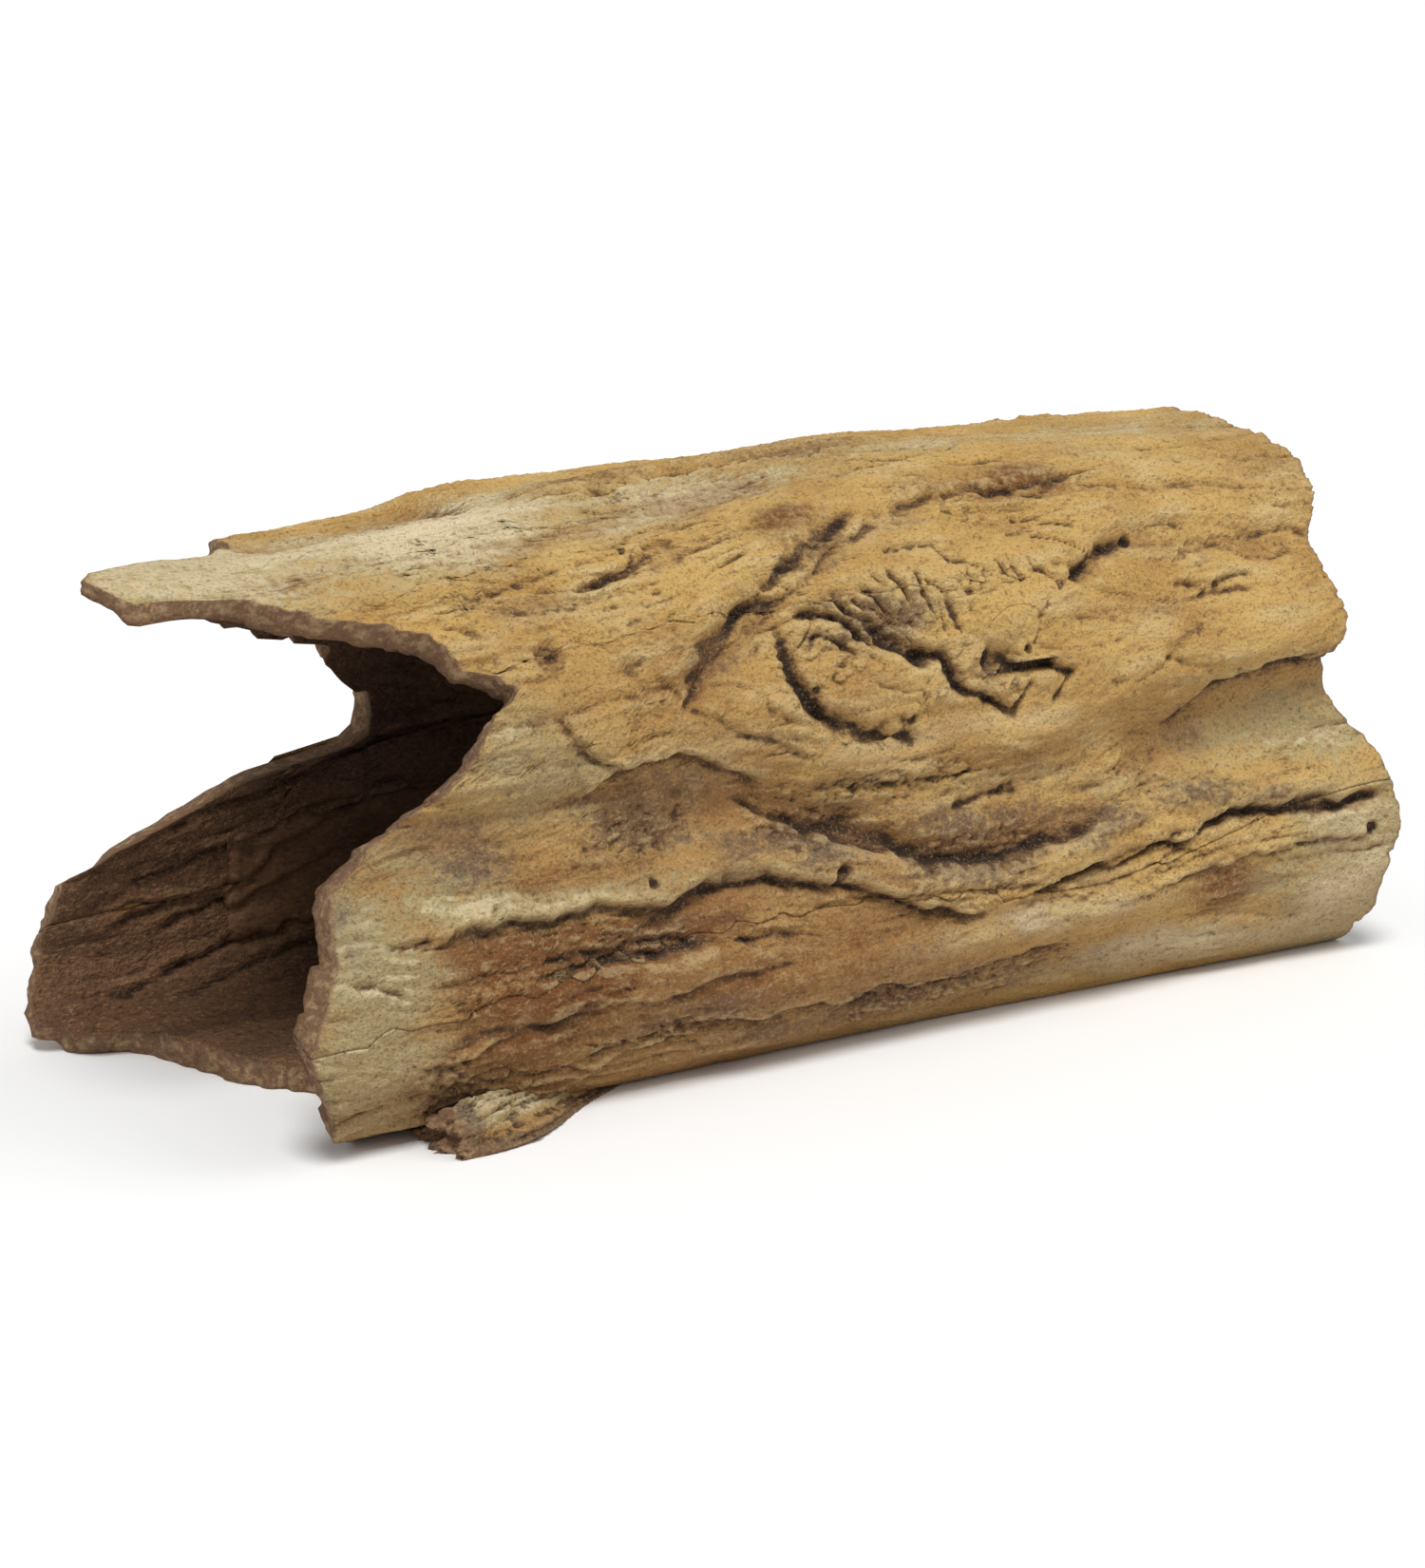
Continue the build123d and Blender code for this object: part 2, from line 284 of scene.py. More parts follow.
GROOVES = [
    # round the knot
    (2.6, 3.4, [(-19, 66), (-18, 77), (-17, 85), (-13, 93), (-5, 99), (9, 104), (24, 106)]),
    (1.5, 1.2, [(-20, 72), (-15, 92), (-3, 101)]),
    (1.5, 3.2, [(-4, 62), (2, 69), (10, 77), (17, 84), (28, 85), (32, 94), (41, 98), (50, 103)]),
    (2.8, 2.2, [(6, 74), (17, 83), (28, 86), (36, 97)]),
    (1.0, 2.2, [(-8, 68), (2, 73), (8, 82)]),
    (0.9, 2.1, [(2, 66), (9, 70), (19, 77)]),
    (0.9, 2.1, [(6, 63), (13, 70), (22, 78)]),
    (0.8, 1.6, [(16, 60), (20, 66), (22, 74)]),
    (0.8, 1.6, [(25, 61), (26, 69), (29, 78)]),
    (0.7, 1.1, [(11, 61), (16, 66)]),
    (0.7, 1.0, [(31, 66), (30, 74), (31, 82)]),
    (0.7, 0.9, [(-10, 78), (2, 80), (10, 86)]),
    (0.6, 0.8, [(2, 88), (12, 92), (20, 93), (23, 101)]),
    (1.2, 1.0, [(12, 99), (16, 101)]),
    (2.6, 2.6, [(-22, 61), (-12, 55), (-2, 51), (10, 45), (17, 44)]),
    (3.0, 2.6, [(-52, 86), (-46, 79), (-38, 72), (-27, 64), (-14, 63)]),
    (1.0, 1.3, [(-53, 87), (-45, 82), (-42, 80)]),
    (1.0, 1.4, [(-30, 65), (-22, 62), (-14, 63)]),
    (0.8, 1.1, [(15, 55), (29, 56), (33, 56), (37, 61), (44, 64), (49, 66)]),
    # branch stub and its scars
    (2.6, 2.4, [(101, 61), (95, 62), (88, 64), (81, 67), (72, 71)]),
    (1.0, 1.6, [(99, 60), (90, 62), (81, 66), (70, 72), (63, 66), (60, 62)]),
    (0.8, 1.8, [(50, 62), (54, 68)]),
    (0.8, 1.6, [(55, 62), (58, 70)]),
    (0.9, 1.4, [(66, 74), (60, 80), (57, 88)]),
    (1.1, 2.0, [(59, 91), (65, 93), (71, 95)]),
    (1.0, 1.6, [(69, 95), (63, 102)]),
    (1.2, 1.6, [(57, 93), (54, 98), (50, 103), (41, 98)]),
    (2.8, 4.4, [(40, 87), (48, 90), (48, 94)]),
    (1.8, 2.4, [(2, 70), (12, 75), (20, 83), (26, 85)]),
    (1.4, 2.2, [(-14, 68), (-4, 69), (4, 76), (13, 82)]),
    (1.2, 2.0, [(-12, 74), (-4, 76), (2, 82)]),
    (1.2, 1.8, [(27, 64), (33, 72), (35, 82)]),
    (0.9, 1.2, [(52, 92), (58, 92)]),
    # long breaks in the bark
    (1.5, 2.4, [(-98, 143), (-94, 140), (-83, 141), (-65, 145), (-56, 145), (-46, 147)]),
    (1.1, 1.6, [(-42, 147), (-26, 149), (-12, 152)]),
    (1.7, 2.2, [(-70, 138), (-60, 137), (-50, 134), (-41, 131), (-30, 132), (-20, 139)]),
    (3.2, 2.8, [(-30, 118), (-17, 122), (-5, 126), (8, 131), (20, 138), (40, 142), (56, 140), (72, 138)]),
    (1.4, 2.0, [(29, 127), (39, 125), (48, 124), (55, 125)]),
    (2.2, 1.3, [(-17, 111), (-9, 114), (5, 117), (17, 118), (32, 117)]),
    (1.3, 1.8, [(56, 152), (74, 149), (89, 146), (113, 142)]),
    (2.0, 2.4, [(110, 142), (128, 139), (142, 140), (162, 142), (186, 140)]),
    (0.8, 1.1, [(-21, 144), (5, 146), (35, 149), (58, 151)]),
    (0.9, 1.0, [(80, 156), (104, 152), (118, 149), (150, 148)]),
    (3.0, 1.8, [(-12, 180), (0, 177), (16, 174), (38, 176), (55, 173), (80, 175)]),
    (1.6, 1.8, [(-128, 163), (-115, 158), (-108, 157), (-94, 156), (-76, 152)]),
    (1.4, 1.5, [(-130, 178), (-119, 173), (-96, 171), (-60, 168)]),
    (0.8, 1.2, [(-150, 147), (-142, 146), (-134, 149)]),
    (0.8, 1.0, [(-138, 138), (-132, 136), (-124, 135)]),
    (1.6, 1.2, [(-62, 164), (-48, 168), (-38, 171), (-16, 175)]),
    # crest and shoulder
    (1.0, 1.1, [(-104, 47), (-87, 45), (-72, 42)]),
    (1.0, 1.4, [(-68, 50), (-58, 47), (-49, 42)]),
    (1.2, 1.0, [(-98, 52), (-77, 54), (-66, 54), (-55, 51)]),
    (1.3, 1.4, [(-66, 9), (-50, 12), (-45, 14), (-23, 10), (4, 8)]),
    (1.0, 1.4, [(23, 6), (21, 17), (28, 20), (39, 24), (60, 20), (74, 13)]),
    (0.9, 1.1, [(12, 29), (30, 27), (42, 25)]),
    (1.3, 1.5, [(52, 36), (59, 42), (70, 42), (79, 40), (90, 40)]),
    (0.9, 1.0, [(92, 58), (106, 57), (115, 57), (121, 58)]),
    (1.0, 1.3, [(136, 62), (147, 61), (155, 60), (168, 63)]),
    (0.9, 1.1, [(112, 75), (125, 75), (133, 73)]),
    (0.9, 1.0, [(114, 79), (125, 78), (138, 77)]),
    (0.7, 0.9, [(80, 98), (92, 99), (100, 96), (106, 90)]),
    (0.8, 0.9, [(62, 30), (74, 30)]),
    (0.9, 1.0, [(90, 4), (106, 8), (122, 12)]),
    (4.0, 2.0, [(104, 114), (119, 107), (130, 103), (150, 100), (180, 98)]),
    (2.5, 1.2, [(100, 94), (107, 90), (118, 86)]),
    (0.7, 0.8, [(-48, 81), (-36, 82), (-29, 87), (-24, 94), (-18, 100)]),
    (0.8, 0.9, [(-46, 94), (-24, 97), (-2, 105), (20, 110)]),
]
RIDGES = [
    (3.5, 1.2, [(-150, 128), (-120, 130), (-97, 128), (-74, 131), (-60, 130), (-42, 125), (-20, 131), (-7, 133),
                (10, 140), (35, 147), (60, 145), (90, 136), (110, 134), (150, 133), (186, 131)]),
    (3.5, 1.8, [(-99, 147), (-84, 145), (-65, 149), (-48, 151)]),
    (5.0, 1.8, [(-60, 78), (-48, 70), (-36, 62), (-22, 54), (-6, 46), (4, 40)]),
    (3.0, 1.6, [(-46, 92), (-40, 84), (-30, 74), (-22, 70)]),
    (3.5, 1.4, [(62, 68), (74, 62), (88, 58), (100, 55)]),
    (5.0, 1.8, [(-20, 108), (0, 111), (20, 113), (40, 111), (60, 108), (80, 105)]),
    (4.0, 1.6, [(95, 104), (112, 100), (124, 96), (145, 94), (180, 90)]),
    (4.0, 1.8, [(-55, 158), (-20, 163), (20, 164), (60, 162), (100, 160)]),
    (3.5, 1.5, [(-112, 152), (-95, 150), (-76, 157), (-50, 160)]),
    (4.0, 1.8, [(-72, 5), (-50, 7), (-30, 4), (0, 2), (40, 3)]),
    (2.5, 1.2, [(-66, 54), (-58, 51), (-48, 47)]),
]
# Where one layer of bark ends over the next: height, reach and places. The high side is the crest's side, or the
# other one when the height is negative.
STEPS = [
    (3.6, 11, [(-127, 141), (-119, 133), (-102, 129), (-81, 131), (-59, 134), (-46, 131), (-34, 132), (-14, 137),
               (2, 145), (20, 150), (44, 154)]),
    (-3.4, 9, [(-100, 144), (-91, 142), (-80, 144), (-69, 143), (-58, 145), (-44, 146)]),
    (1.8, 8, [(-124, 166), (-112, 161), (-99, 156), (-83, 155), (-56, 157), (-39, 156), (-20, 157)]),
    (2.0, 9, [(-100, 183), (-70, 172), (-48, 169), (-25, 171), (5, 172), (37, 175)]),
    (3.0, 10, [(47, 155), (78, 148), (104, 145), (125, 139), (142, 139), (161, 140), (186, 140)]),
    (4.2, 15, [(104, 115), (110, 111), (119, 105), (132, 102), (149, 99), (168, 101), (186, 102)]),
    (-3.0, 11, [(-42, 111), (-23, 120), (-7, 129), (21, 140), (48, 142), (67, 141), (84, 135)]),
    (2.2, 9, [(-53, 87), (-44, 78), (-30, 69), (-10, 59), (5, 51), (21, 46)]),
    (1.8, 7, [(24, 43), (53, 40), (70, 44), (88, 40)]),
    (2.6, 9, [(-82, 103), (-68, 97), (-54, 96), (-40, 103), (-24, 110)]),
    (1.8, 6, [(-86, 80), (-82, 87), (-76, 94), (-68, 97)]),
    (1.6, 8, [(78, 160), (111, 155), (143, 152), (180, 150)]),
    (1.2, 6, [(-51, 85), (-41, 90), (-27, 96), (-12, 106)]),
    (1.6, 7, [(108, 74), (122, 75), (140, 72)]),
    (1.6, 7, [(-74, 48), (-62, 48), (-48, 41), (-36, 40)]),
    (-1.6, 8, [(-70, 12), (-50, 12), (-23, 10), (10, 7), (24, 7)]),
    (-2.6, 10, [(-112, -74), (-70, -78), (-20, -72), (30, -78), (70, -84)]),
    (-3.0, 11, [(10, -122), (60, -126), (110, -118), (160, -122), (186, -120)]),
    (-2.4, 9, [(-140, -124), (-100, -120), (-60, -124), (-20, -118)]),
    (-2.0, 8, [(40, -50), (90, -46), (130, -52), (170, -48)]),
    (-2.2, 8, [(-60, -44), (-20, -40), (20, -46)]),
    (2.2, 8, [(-90, -150), (-30, -146), (40, -152), (100, -146)]),
]
# The broad swellings and hollows
FOLDS = [
    (8, 1.3, [(-110, 126), (-81, 126), (-59, 128), (-34, 127), (-14, 131), (8, 139), (40, 147), (80, 142), (120, 132),
              (184, 130)]),
    (7, -2.4, [(-60, 117), (-42, 112), (-23, 119), (-7, 126), (21, 136), (48, 138), (67, 137), (84, 130)]),
    (9, 2.4, [(-30, 104), (0, 110), (30, 114), (60, 110), (86, 104), (110, 100)]),
    (11, -3.2, [(84, 126), (104, 120), (125, 113), (150, 110), (186, 110)]),
    (8, -1.8, [(-76, 108), (-62, 108), (-48, 110)]),
    (9, 2.4, [(-64, 76), (-48, 66), (-34, 57), (-18, 49), (0, 40)]),
    (6, -1.8, [(-52, 88), (-44, 81), (-30, 73), (-20, 68)]),
    (7, 1.8, [(-16, 62), (-8, 56), (6, 54), (20, 57)]),
    (8, 2.0, [(66, 58), (84, 54), (104, 49)]),
    (8, 1.8, [(92, 92), (112, 90), (140, 86), (186, 84)]),
    (7, -1.6, [(96, 70), (120, 66), (150, 64), (186, 64)]),
    (9, 2.2, [(-60, 160), (-20, 163), (30, 164), (80, 163), (120, 160)]),
    (6, 1.8, [(-84, 149), (-64, 151), (-44, 152)]),
    (8, 2.0, [(-74, 3), (-50, 5), (-20, 2), (20, 0), (60, 0)]),
    (7, -1.6, [(-100, 36), (-70, 32), (-30, 24), (10, 20)]),
    (16, -4.5, [(-146, -8), (-124, -9), (-104, -10), (-76, -14)]),
    # the far wall
    (10, 2.4, [(-90, -60), (-40, -66), (20, -60), (90, -70), (150, -62)]),
    (9, -2.4, [(-110, -82), (-60, -86), (0, -80), (60, -92), (120, -86), (184, -92)]),
    (9, 2.2, [(-130, -112), (-70, -104), (-10, -110), (60, -116), (130, -108)]),
    (9, -2.0, [(-60, -134), (10, -130), (80, -138), (150, -130)]),
]
# Pits: x, s, size and depth. Crumbling patches: x, s, reach along x, reach along s.
PITS = [(-63, 128, 1.6, 1.6), (-7, 138, 2.4, 2.6), (-54, 40, 1.1, 1.0), (-85, 66, 5.0, 1.4), (174, 150, 2.0, 1.6),
        (22, 85, 2.6, 1.8), (17, 100, 1.6, 1.3), (-12, 88, 1.1, 0.9), (55, 87, 1.2, 1.0), (98, 61, 1.8, 1.4),
        (131, 139, 1.4, 1.3)]
ROUGH = [(-62, 114, 18, 9), (10, 116, 40, 6), (-14, 124, 20, 7), (40, 140, 34, 7), (26, 177, 50, 8), (8, 76, 20, 9),
         (44, 68, 10, 6), (-50, 168, 22, 6), (-118, 172, 20, 10), (135, 139, 20, 4), (-70, 141, 25, 5),
         (46, 92, 10, 8)]
# What stands out from the wall or pushes the grain aside: x, s, reach along x, reach along s, and how far
DOMES = [(2, 84, 24, 22, 2.6), (50, 82, 20, 15, 2.2)]
PUSHES = [(6, 84, 34, 30, 13), (54, 84, 30, 26, 9), (30, 95, 75, 42, 9)]
MOST_RELIEF = 5.6
# Where the bark is smooth: x, s, reach along x, reach along s, strength
CALM = [(-143, 150, 17, 34, 1.0), (-120, 112, 26, 16, 0.7), (130, 112, 46, 10, 1.0), (168, 166, 28, 24, 0.9),
        (90, 164, 40, 10, 0.6), (-152, 18, 34, 40, 0.6), (84, 84, 30, 18, 0.6), (120, 14, 50, 20, 0.5),
        (-48, 92, 16, 10, 0.5), (20, 104, 60, 6, 0.6), (-92, 88, 22, 20, 0.6), (150, 84, 34, 14, 0.4),
        (0, 160, 70, 6, 0.5), (-40, 128, 70, 4, 0.6)]
# Paint zones: x, s, reach along x, reach along s, strength
ZONES = {
    "pale": [(-168, 10, 34, 45, 1.2), (-110, 12, 50, 24, 1.4), (-30, 22, 64, 14, 0.8), (60, 12, 80, 12, 0.5),
             (130, 8, 50, 14, 0.6), (-143, 150, 17, 30, 1.5), (-142, 128, 22, 8, 0.9), (-150, 174, 22, 16, 1.3),
             (-112, 127, 32, 6, 1.1), (-122, 116, 22, 10, 0.9), (-80, 128, 34, 4, 0.8), (-98, 92, 26, 20, 0.8),
             (168, 168, 30, 30, 1.7), (120, 180, 70, 8, 1.2), (60, 160, 40, 5, 0.5), (150, 118, 40, 12, 0.9),
             (100, 128, 30, 8, 0.5), (-40, 131, 60, 3, 0.5), (110, 178, 60, 6, 0.5), (178, 20, 14, 40, 0.5),
             (55, 122, 40, 5, 0.4), (-85, 95, 22, 24, 0.4)],
    "rust": [(-98, 139, 28, 9, 1.6), (-68, 141, 34, 7, 1.3), (-88, 120, 26, 7, 0.7), (-30, 160, 60, 12, 0.7),
             (-92, 150, 36, 10, 1.3), (-98, 162, 28, 9, 1.2), (45, 160, 60, 8, 0.35), (124, 160, 17, 11, 1.0),
             (62, 39, 34, 7, 0.8), (-6, 43, 15, 6, 0.8), (-45, 4, 42, 6, 0.9), (25, 4, 40, 6, 0.7),
             (62, 118, 20, 7, 0.5), (150, 36, 24, 8, 0.5), (-100, 176, 30, 8, 0.6), (0, 100, 150, 60, 0.12)],
    "light": [(168, 166, 22, 24, 0.6), (120, 178, 60, 8, 0.6), (-105, 14, 46, 20, 0.8), (-40, 24, 50, 12, 0.4),
             (20, 104, 50, 5, 0.35), (60, 160, 44, 6, 0.4)],
    "dusk": [(108, 134, 28, 6, 0.7), (-62, 110, 22, 12, 1.1), (-112, 112, 15, 9, 1.0), (-14, 124, 26, 7, 1.1),
             (112, 116, 30, 8, 0.35), (-122, 172, 22, 9, 0.7), (-55, 166, 30, 8, 0.7), (-66, 140, 40, 6, 0.4),
             (42, 139, 40, 8, 1.2), (20, 132, 50, 6, 0.9), (78, 136, 26, 6, 0.8), (-148, 132, 12, 14, 0.5),
             (20, 177, 60, 8, 1.0), (-40, 74, 14, 10, 0.5), (8, 73, 22, 9, 1.0), (47, 91, 10, 5, 0.55),
             (-2, 52, 18, 7, 0.5), (160, 106, 30, 6, 0.35), (140, 138, 26, 5, 0.5), (-75, 52, 26, 5, 0.4)],
}


def zone(x, s, place, blobs):
    """A paint zone's strength with a mottled edge."""
    total = 0 * x
    for cx, cs, rx, rs, strength in blobs:
        d = ((x - cx) / rx) ** 2 + ((s - cs) / rs) ** 2
        total = np.maximum(total, strength * np.exp(-d))
    mottle = 0.5 * fbm(place / np.array([22, 10, 10]), 3, 121)
    return np.clip(total * (1 + mottle) + 0.25 * np.clip(mottle, 0, 1) * (total > 0.03), 0, 1.2)


def lower_part(x, s):
    """0 at the crest and 1 low on the walls, less towards the tail."""
    around = np.where(s > PERIMETER / 2, PERIMETER - s, np.abs(s))
    return smooth(5, 160, around) * (1 - 0.85 * smooth(-20, 100, x))


def sunk(x, s):
    """1 in the recesses under the knot and the stub and 0 elsewhere."""
    depth = 0 * x
    for cx, cs, rx, rs in RECESSES:
        depth = np.maximum(depth, smooth(0.98, 0.93, np.hypot((x - cx) / rx, (s - cs) / rs)))
    return depth


def near_line(x, s, places, reach):
    """The points within reach of a line of places, their distance to it (minus on one side) and share along it."""
    line = np.array(places, float)
    low, high = line.min(0) - reach, line.max(0) + reach
    chosen = np.flatnonzero((x > low[0]) & (x < high[0]) & (s > low[1]) & (s < high[1]))
    px, ps = x[chosen], s[chosen]
    best, share, side = np.full(len(chosen), 1e9), np.zeros(len(chosen)), np.zeros(len(chosen))
    lengths = np.hypot(*np.diff(line, axis=0).T)
    total, done = max(lengths.sum(), 1e-6), 0.0
    for (ax, as_), (bx, bs), length in zip(line, line[1:], lengths):
        t = np.clip(((px - ax) * (bx - ax) + (ps - as_) * (bs - as_)) / max(length**2, 1e-9), 0, 1)
        dx, ds = px - ax - t * (bx - ax), ps - as_ - t * (bs - as_)
        d = np.hypot(dx, ds)
        closer = d < best
        best[closer] = d[closer]
        share[closer] = ((done + t * length) / total)[closer]
        side[closer] = np.sign(ds)[closer]
        done += length
    return chosen, best * side, share


def tapered(share, rise, beyond=0.0):
    """1 along the middle of a line and 0 at its two ends."""
    return smooth(-beyond, rise, share) * smooth(1 + beyond, 1 - rise, share)


def pushed(x, s):
    """How far the grain is pushed along the girth round the knot and the stub."""
    total = 5.0 * noise(np.stack([x / 75, s / 48, 0 * x], -1), 3)
    for cx, cs, rx, rs, push in PUSHES:
        d = (s - cs) / rs
        total += push * np.sign(d) * np.exp(-(((x - cx) / rx) ** 2)) * np.minimum(np.abs(d), 1) * np.exp(-0.5 * d * d)
    return total


def carved(x, s, place):
    """The outside's relief in millimetres at girth places, whose smooth points are place, and how much painted shade
    it gets in its cracks, grooves, pits, crumbling patches and under its ledges.
    """
    shape = x.shape
    x, s, place = x.ravel(), s.ravel(), place.reshape(-1, 3)
    push = pushed(x, s)
    angle = np.arctan2(-(place[:, 1] - AXIS_Y), place[:, 2] - AXIS_Z)
    along = np.stack([0 * x, -np.cos(angle), -np.sin(angle)], -1)
    q = place - along * push[:, None]
    q = q + 2.5 * noise(place / 26, 5)[:, None] * along

    def stretched(length, width):
        return np.stack([q[:, 0] / length, q[:, 1] / width, q[:, 2] / width], -1)

    def furrow(length, width, seed, octaves=2):
        return creases(stretched(length, width), octaves, seed)

    def layered(length, width, seed):
        """Layers whose edges break off sharply: a sawtooth of stretched noise."""
        v = 2.6 * fbm(stretched(length, width), 3, seed)
        v = v + 0.35 * noise(place / 3.0, seed + 3)
        part = v - np.floor(v)
        return smooth(0, 0.12, part) - part - 0.44

    calm = 1 - 0.8 * zone(x, s, place, CALM)
    relief = 1.9 * fbm(place / np.array([90, 42, 42]), 2, 11)
    relief += 1.9 * (furrow(120, 24, 21) - 0.55)
    vary = smooth(-0.35, 0.4, noise(place / 34, 8))
    relief += calm * (0.8 + 0.6 * vary) * (furrow(60, 10, 23) - 0.5)
    relief += calm * (0.3 + 0.35 * vary) * (furrow(28, 3.6, 25) - 0.5)
    flaky = calm * smooth(-0.3, 0.5, noise(place / 28, 33))
    relief += calm * (0.25 + 1.1 * flaky) * layered(80, 14, 35) + calm * (0.1 + 0.4 * flaky) * layered(34, 5, 37)
    crack = furrow(44, 6.0, 27, 1)
    crack_here = calm * smooth(0.1, 0.45, noise(place / 22, 29))
    relief -= 1.2 * crack_here * smooth(0.22, 0.0, crack)
    # Painted shade along the floors of the cracks; more is laid below, under the ledges and in the grooves, pits and
    # crumbling patches.
    painted_shade = 0.3 * crack_here * smooth(0.2, 0.02, crack)

    wobble = 1.1 * noise(place / 5.0, 41) + 0.55 * noise(place / 2.0, 43)
    calmer = 1.2 * noise(place / 6.5, 44) + 0.25 * noise(place / 2.6, 46)
    stray = 2.2 * noise(place / 14, 45)
    for width, height, places in FOLDS:
        chosen, signed, share = near_line(x, s, places, 2.4 * width)
        relief[chosen] += height * tapered(share, 0.15) * np.exp(-((signed / width) ** 2))
    for height, reach, places in STEPS:
        chosen, signed, share = near_line(x, s, places, 3 * reach)
        taper = tapered(share, 0.1)
        signed = (signed + calmer[chosen] + stray[chosen]) * np.sign(height)
        edge = 0.5 * (1 + np.tanh(signed / 0.45))
        high = np.exp(-np.abs(signed) / reach) * (1 - edge)
        low_side = np.exp(-np.abs(signed) / (0.7 * reach)) * edge
        relief[chosen] += abs(height) * taper * (0.4 * high - 0.6 * low_side)
        # A trench at the foot of each step on its low side, with painted shade laid along it under the ledge.
        foot = np.exp(-(((signed - 0.9) / 1.3) ** 2)) * taper * (0.25 + 0.1 * abs(height))
        relief[chosen] -= 0.9 * foot
        painted_shade[chosen] = np.maximum(painted_shade[chosen], foot * (0.75 + 0.5 * noise(place[chosen] / 6, 47)))
    for width, height, places in RIDGES:
        chosen, signed, share = near_line(x, s, places, 4 * width)
        signed = signed + 1.5 * wobble[chosen]
        relief[chosen] += 0.8 * height * tapered(share, 0.12) * np.exp(-((signed / width) ** 2))
    for n, (width, depth, places) in enumerate(GROOVES):
        chosen, signed, share = near_line(x, s, places, 5 * width + 2)
        signed = signed + (0.65 + 0.15 * width) * (wobble if width < 1.6 else calmer)[chosen]
        taper = tapered(share, 0.16, 0.02)
        vary = 0.75 + 0.5 * noise(place[chosen] / 7, 51 + n)
        wide = width * (0.4 + 0.6 * taper) * (0.7 + 0.5 * vary)
        body = np.exp(-((signed / wide) ** 2))
        relief[chosen] -= 1.15 * depth * taper * np.clip(vary, 0.25, 1.3) * body
        # Painted shade along the middle of each groove, more where it is deeper.
        shade_mask = taper * min(0.9, 0.15 + depth / 4) * np.exp(-((signed / (0.8 * wide)) ** 2))
        painted_shade[chosen] = np.maximum(painted_shade[chosen], shade_mask * np.clip(0.6 + 0.6 * vary, 0.4, 1.1))
    for cx, cs, size, depth in PITS:
        d = np.hypot(x - cx, s - cs) / size + 0.25 * wobble
        relief -= depth * smooth(1.25, 0.5, d)
        # Painted shade in the pits.
        painted_shade = np.maximum(painted_shade, (0.9 if size < 4 else 0.35) * smooth(1.5, 0.6, d))
    rough = 0 * x
    for cx, cs, rx, rs in ROUGH:
        rough = np.maximum(rough, np.exp(-(((x - cx) / rx) ** 2) - ((s - cs) / rs) ** 2))
    crumb = creases(place / np.array([5.5, 3.0, 3.0]), 2, 61)
    crumb_here = np.clip(smooth(0.25, 0.8, rough + 0.45 * noise(place / 9, 63)), 0, 1)
    relief += 1.3 * crumb_here * (crumb - 0.7) + 0.5 * crumb_here * fbm(place / 4.0, 2, 65)
    # Painted shade in the creases of the crumbling patches.
    painted_shade = np.maximum(painted_shade, crumb_here * (0.18 + 0.5 * smooth(0.6, 0.1, crumb)))
    for cx, cs, rx, rs, height in DOMES:
        relief += height * np.exp(-(((x - cx) / rx) ** 2) - ((s - cs) / rs) ** 2)
    relief += (0.12 + 0.2 * calm) * fbm(stretched(7.0, 1.9), 2, 71)
    relief += 0.3 * (furrow(13, 2.0, 75, 1) - 0.6) * smooth(-0.2, 0.4, noise(place / 17, 77))
    relief += 0.2 * fbm(place / 1.9, 2, 73)
    return (MOST_RELIEF * np.tanh(relief / MOST_RELIEF)).reshape(shape), painted_shade.reshape(shape)


def spread(v, steps):
    """The grid v blurred over a number of steps along each axis, edges held."""
    for axis in (0, 1):
        width = max(1, int(steps[axis]))
        for _ in range(2):
            pad = [(0, 0), (0, 0)]
            pad[axis] = (width + 1, width)
            total = np.cumsum(np.pad(v, pad, mode="edge"), axis)
            n = v.shape[axis]
            high = np.take(total, np.arange(2 * width + 1, 2 * width + 1 + n), axis)
            low = np.take(total, np.arange(0, n), axis)
            v = (high - low) / (2 * width + 1)
    return v


# ------------------------------------------------------------------------------------ grids to meshes


def outward(table, x, angle):
    """The unit normal of a measured surface, away from the log's axis."""
    along = point(table, x + 1.2, angle) - point(table, x - 1.2, angle)
    round_ = point(table, x, angle + 0.014) - point(table, x, angle - 0.014)
    normal = np.cross(along, round_)
    normal /= np.maximum(np.linalg.norm(normal, axis=-1, keepdims=True), 1e-9)
    away = -normal[..., 1] * np.sin(angle) + normal[..., 2] * np.cos(angle)
    return normal * np.sign(away)[..., None]


def make_object(name, points, faces, values, node):
    """A closed mesh piece in metres, faces outwards, that rides on the root and stands for a CAD node."""
    mesh = bpy.data.meshes.new(name)
    mesh.from_pydata((points.reshape(-1, 3) / MM).tolist(), [], faces)
    mesh.update()
    for key, v in values.items():
        mesh.attributes.new(key, "FLOAT", "POINT").data.foreach_set("value", np.asarray(v, np.float32).ravel())
    mesh.shade_smooth()
    bm = bmesh.new()
    bm.from_mesh(mesh)
    if bm.calc_volume(signed=True) < 0:
        bmesh.ops.reverse_faces(bm, faces=bm.faces)
    bm.to_mesh(mesh)
    bm.free()
    # The normals' upward share, stored as 'up', gives painted highlights on tops and painted shade on undersides in
    # the bark paint.
    normals = np.empty(3 * len(mesh.vertices), np.float32)
    mesh.vertices.foreach_get("normal", normals)
    mesh.attributes.new("up", "FLOAT", "POINT").data.foreach_set("value", normals[2::3].copy())
    piece = bpy.data.objects.new(name, mesh)
    bpy.context.scene.collection.objects.link(piece)
    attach(piece, "root")
    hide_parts(node)
    return piece


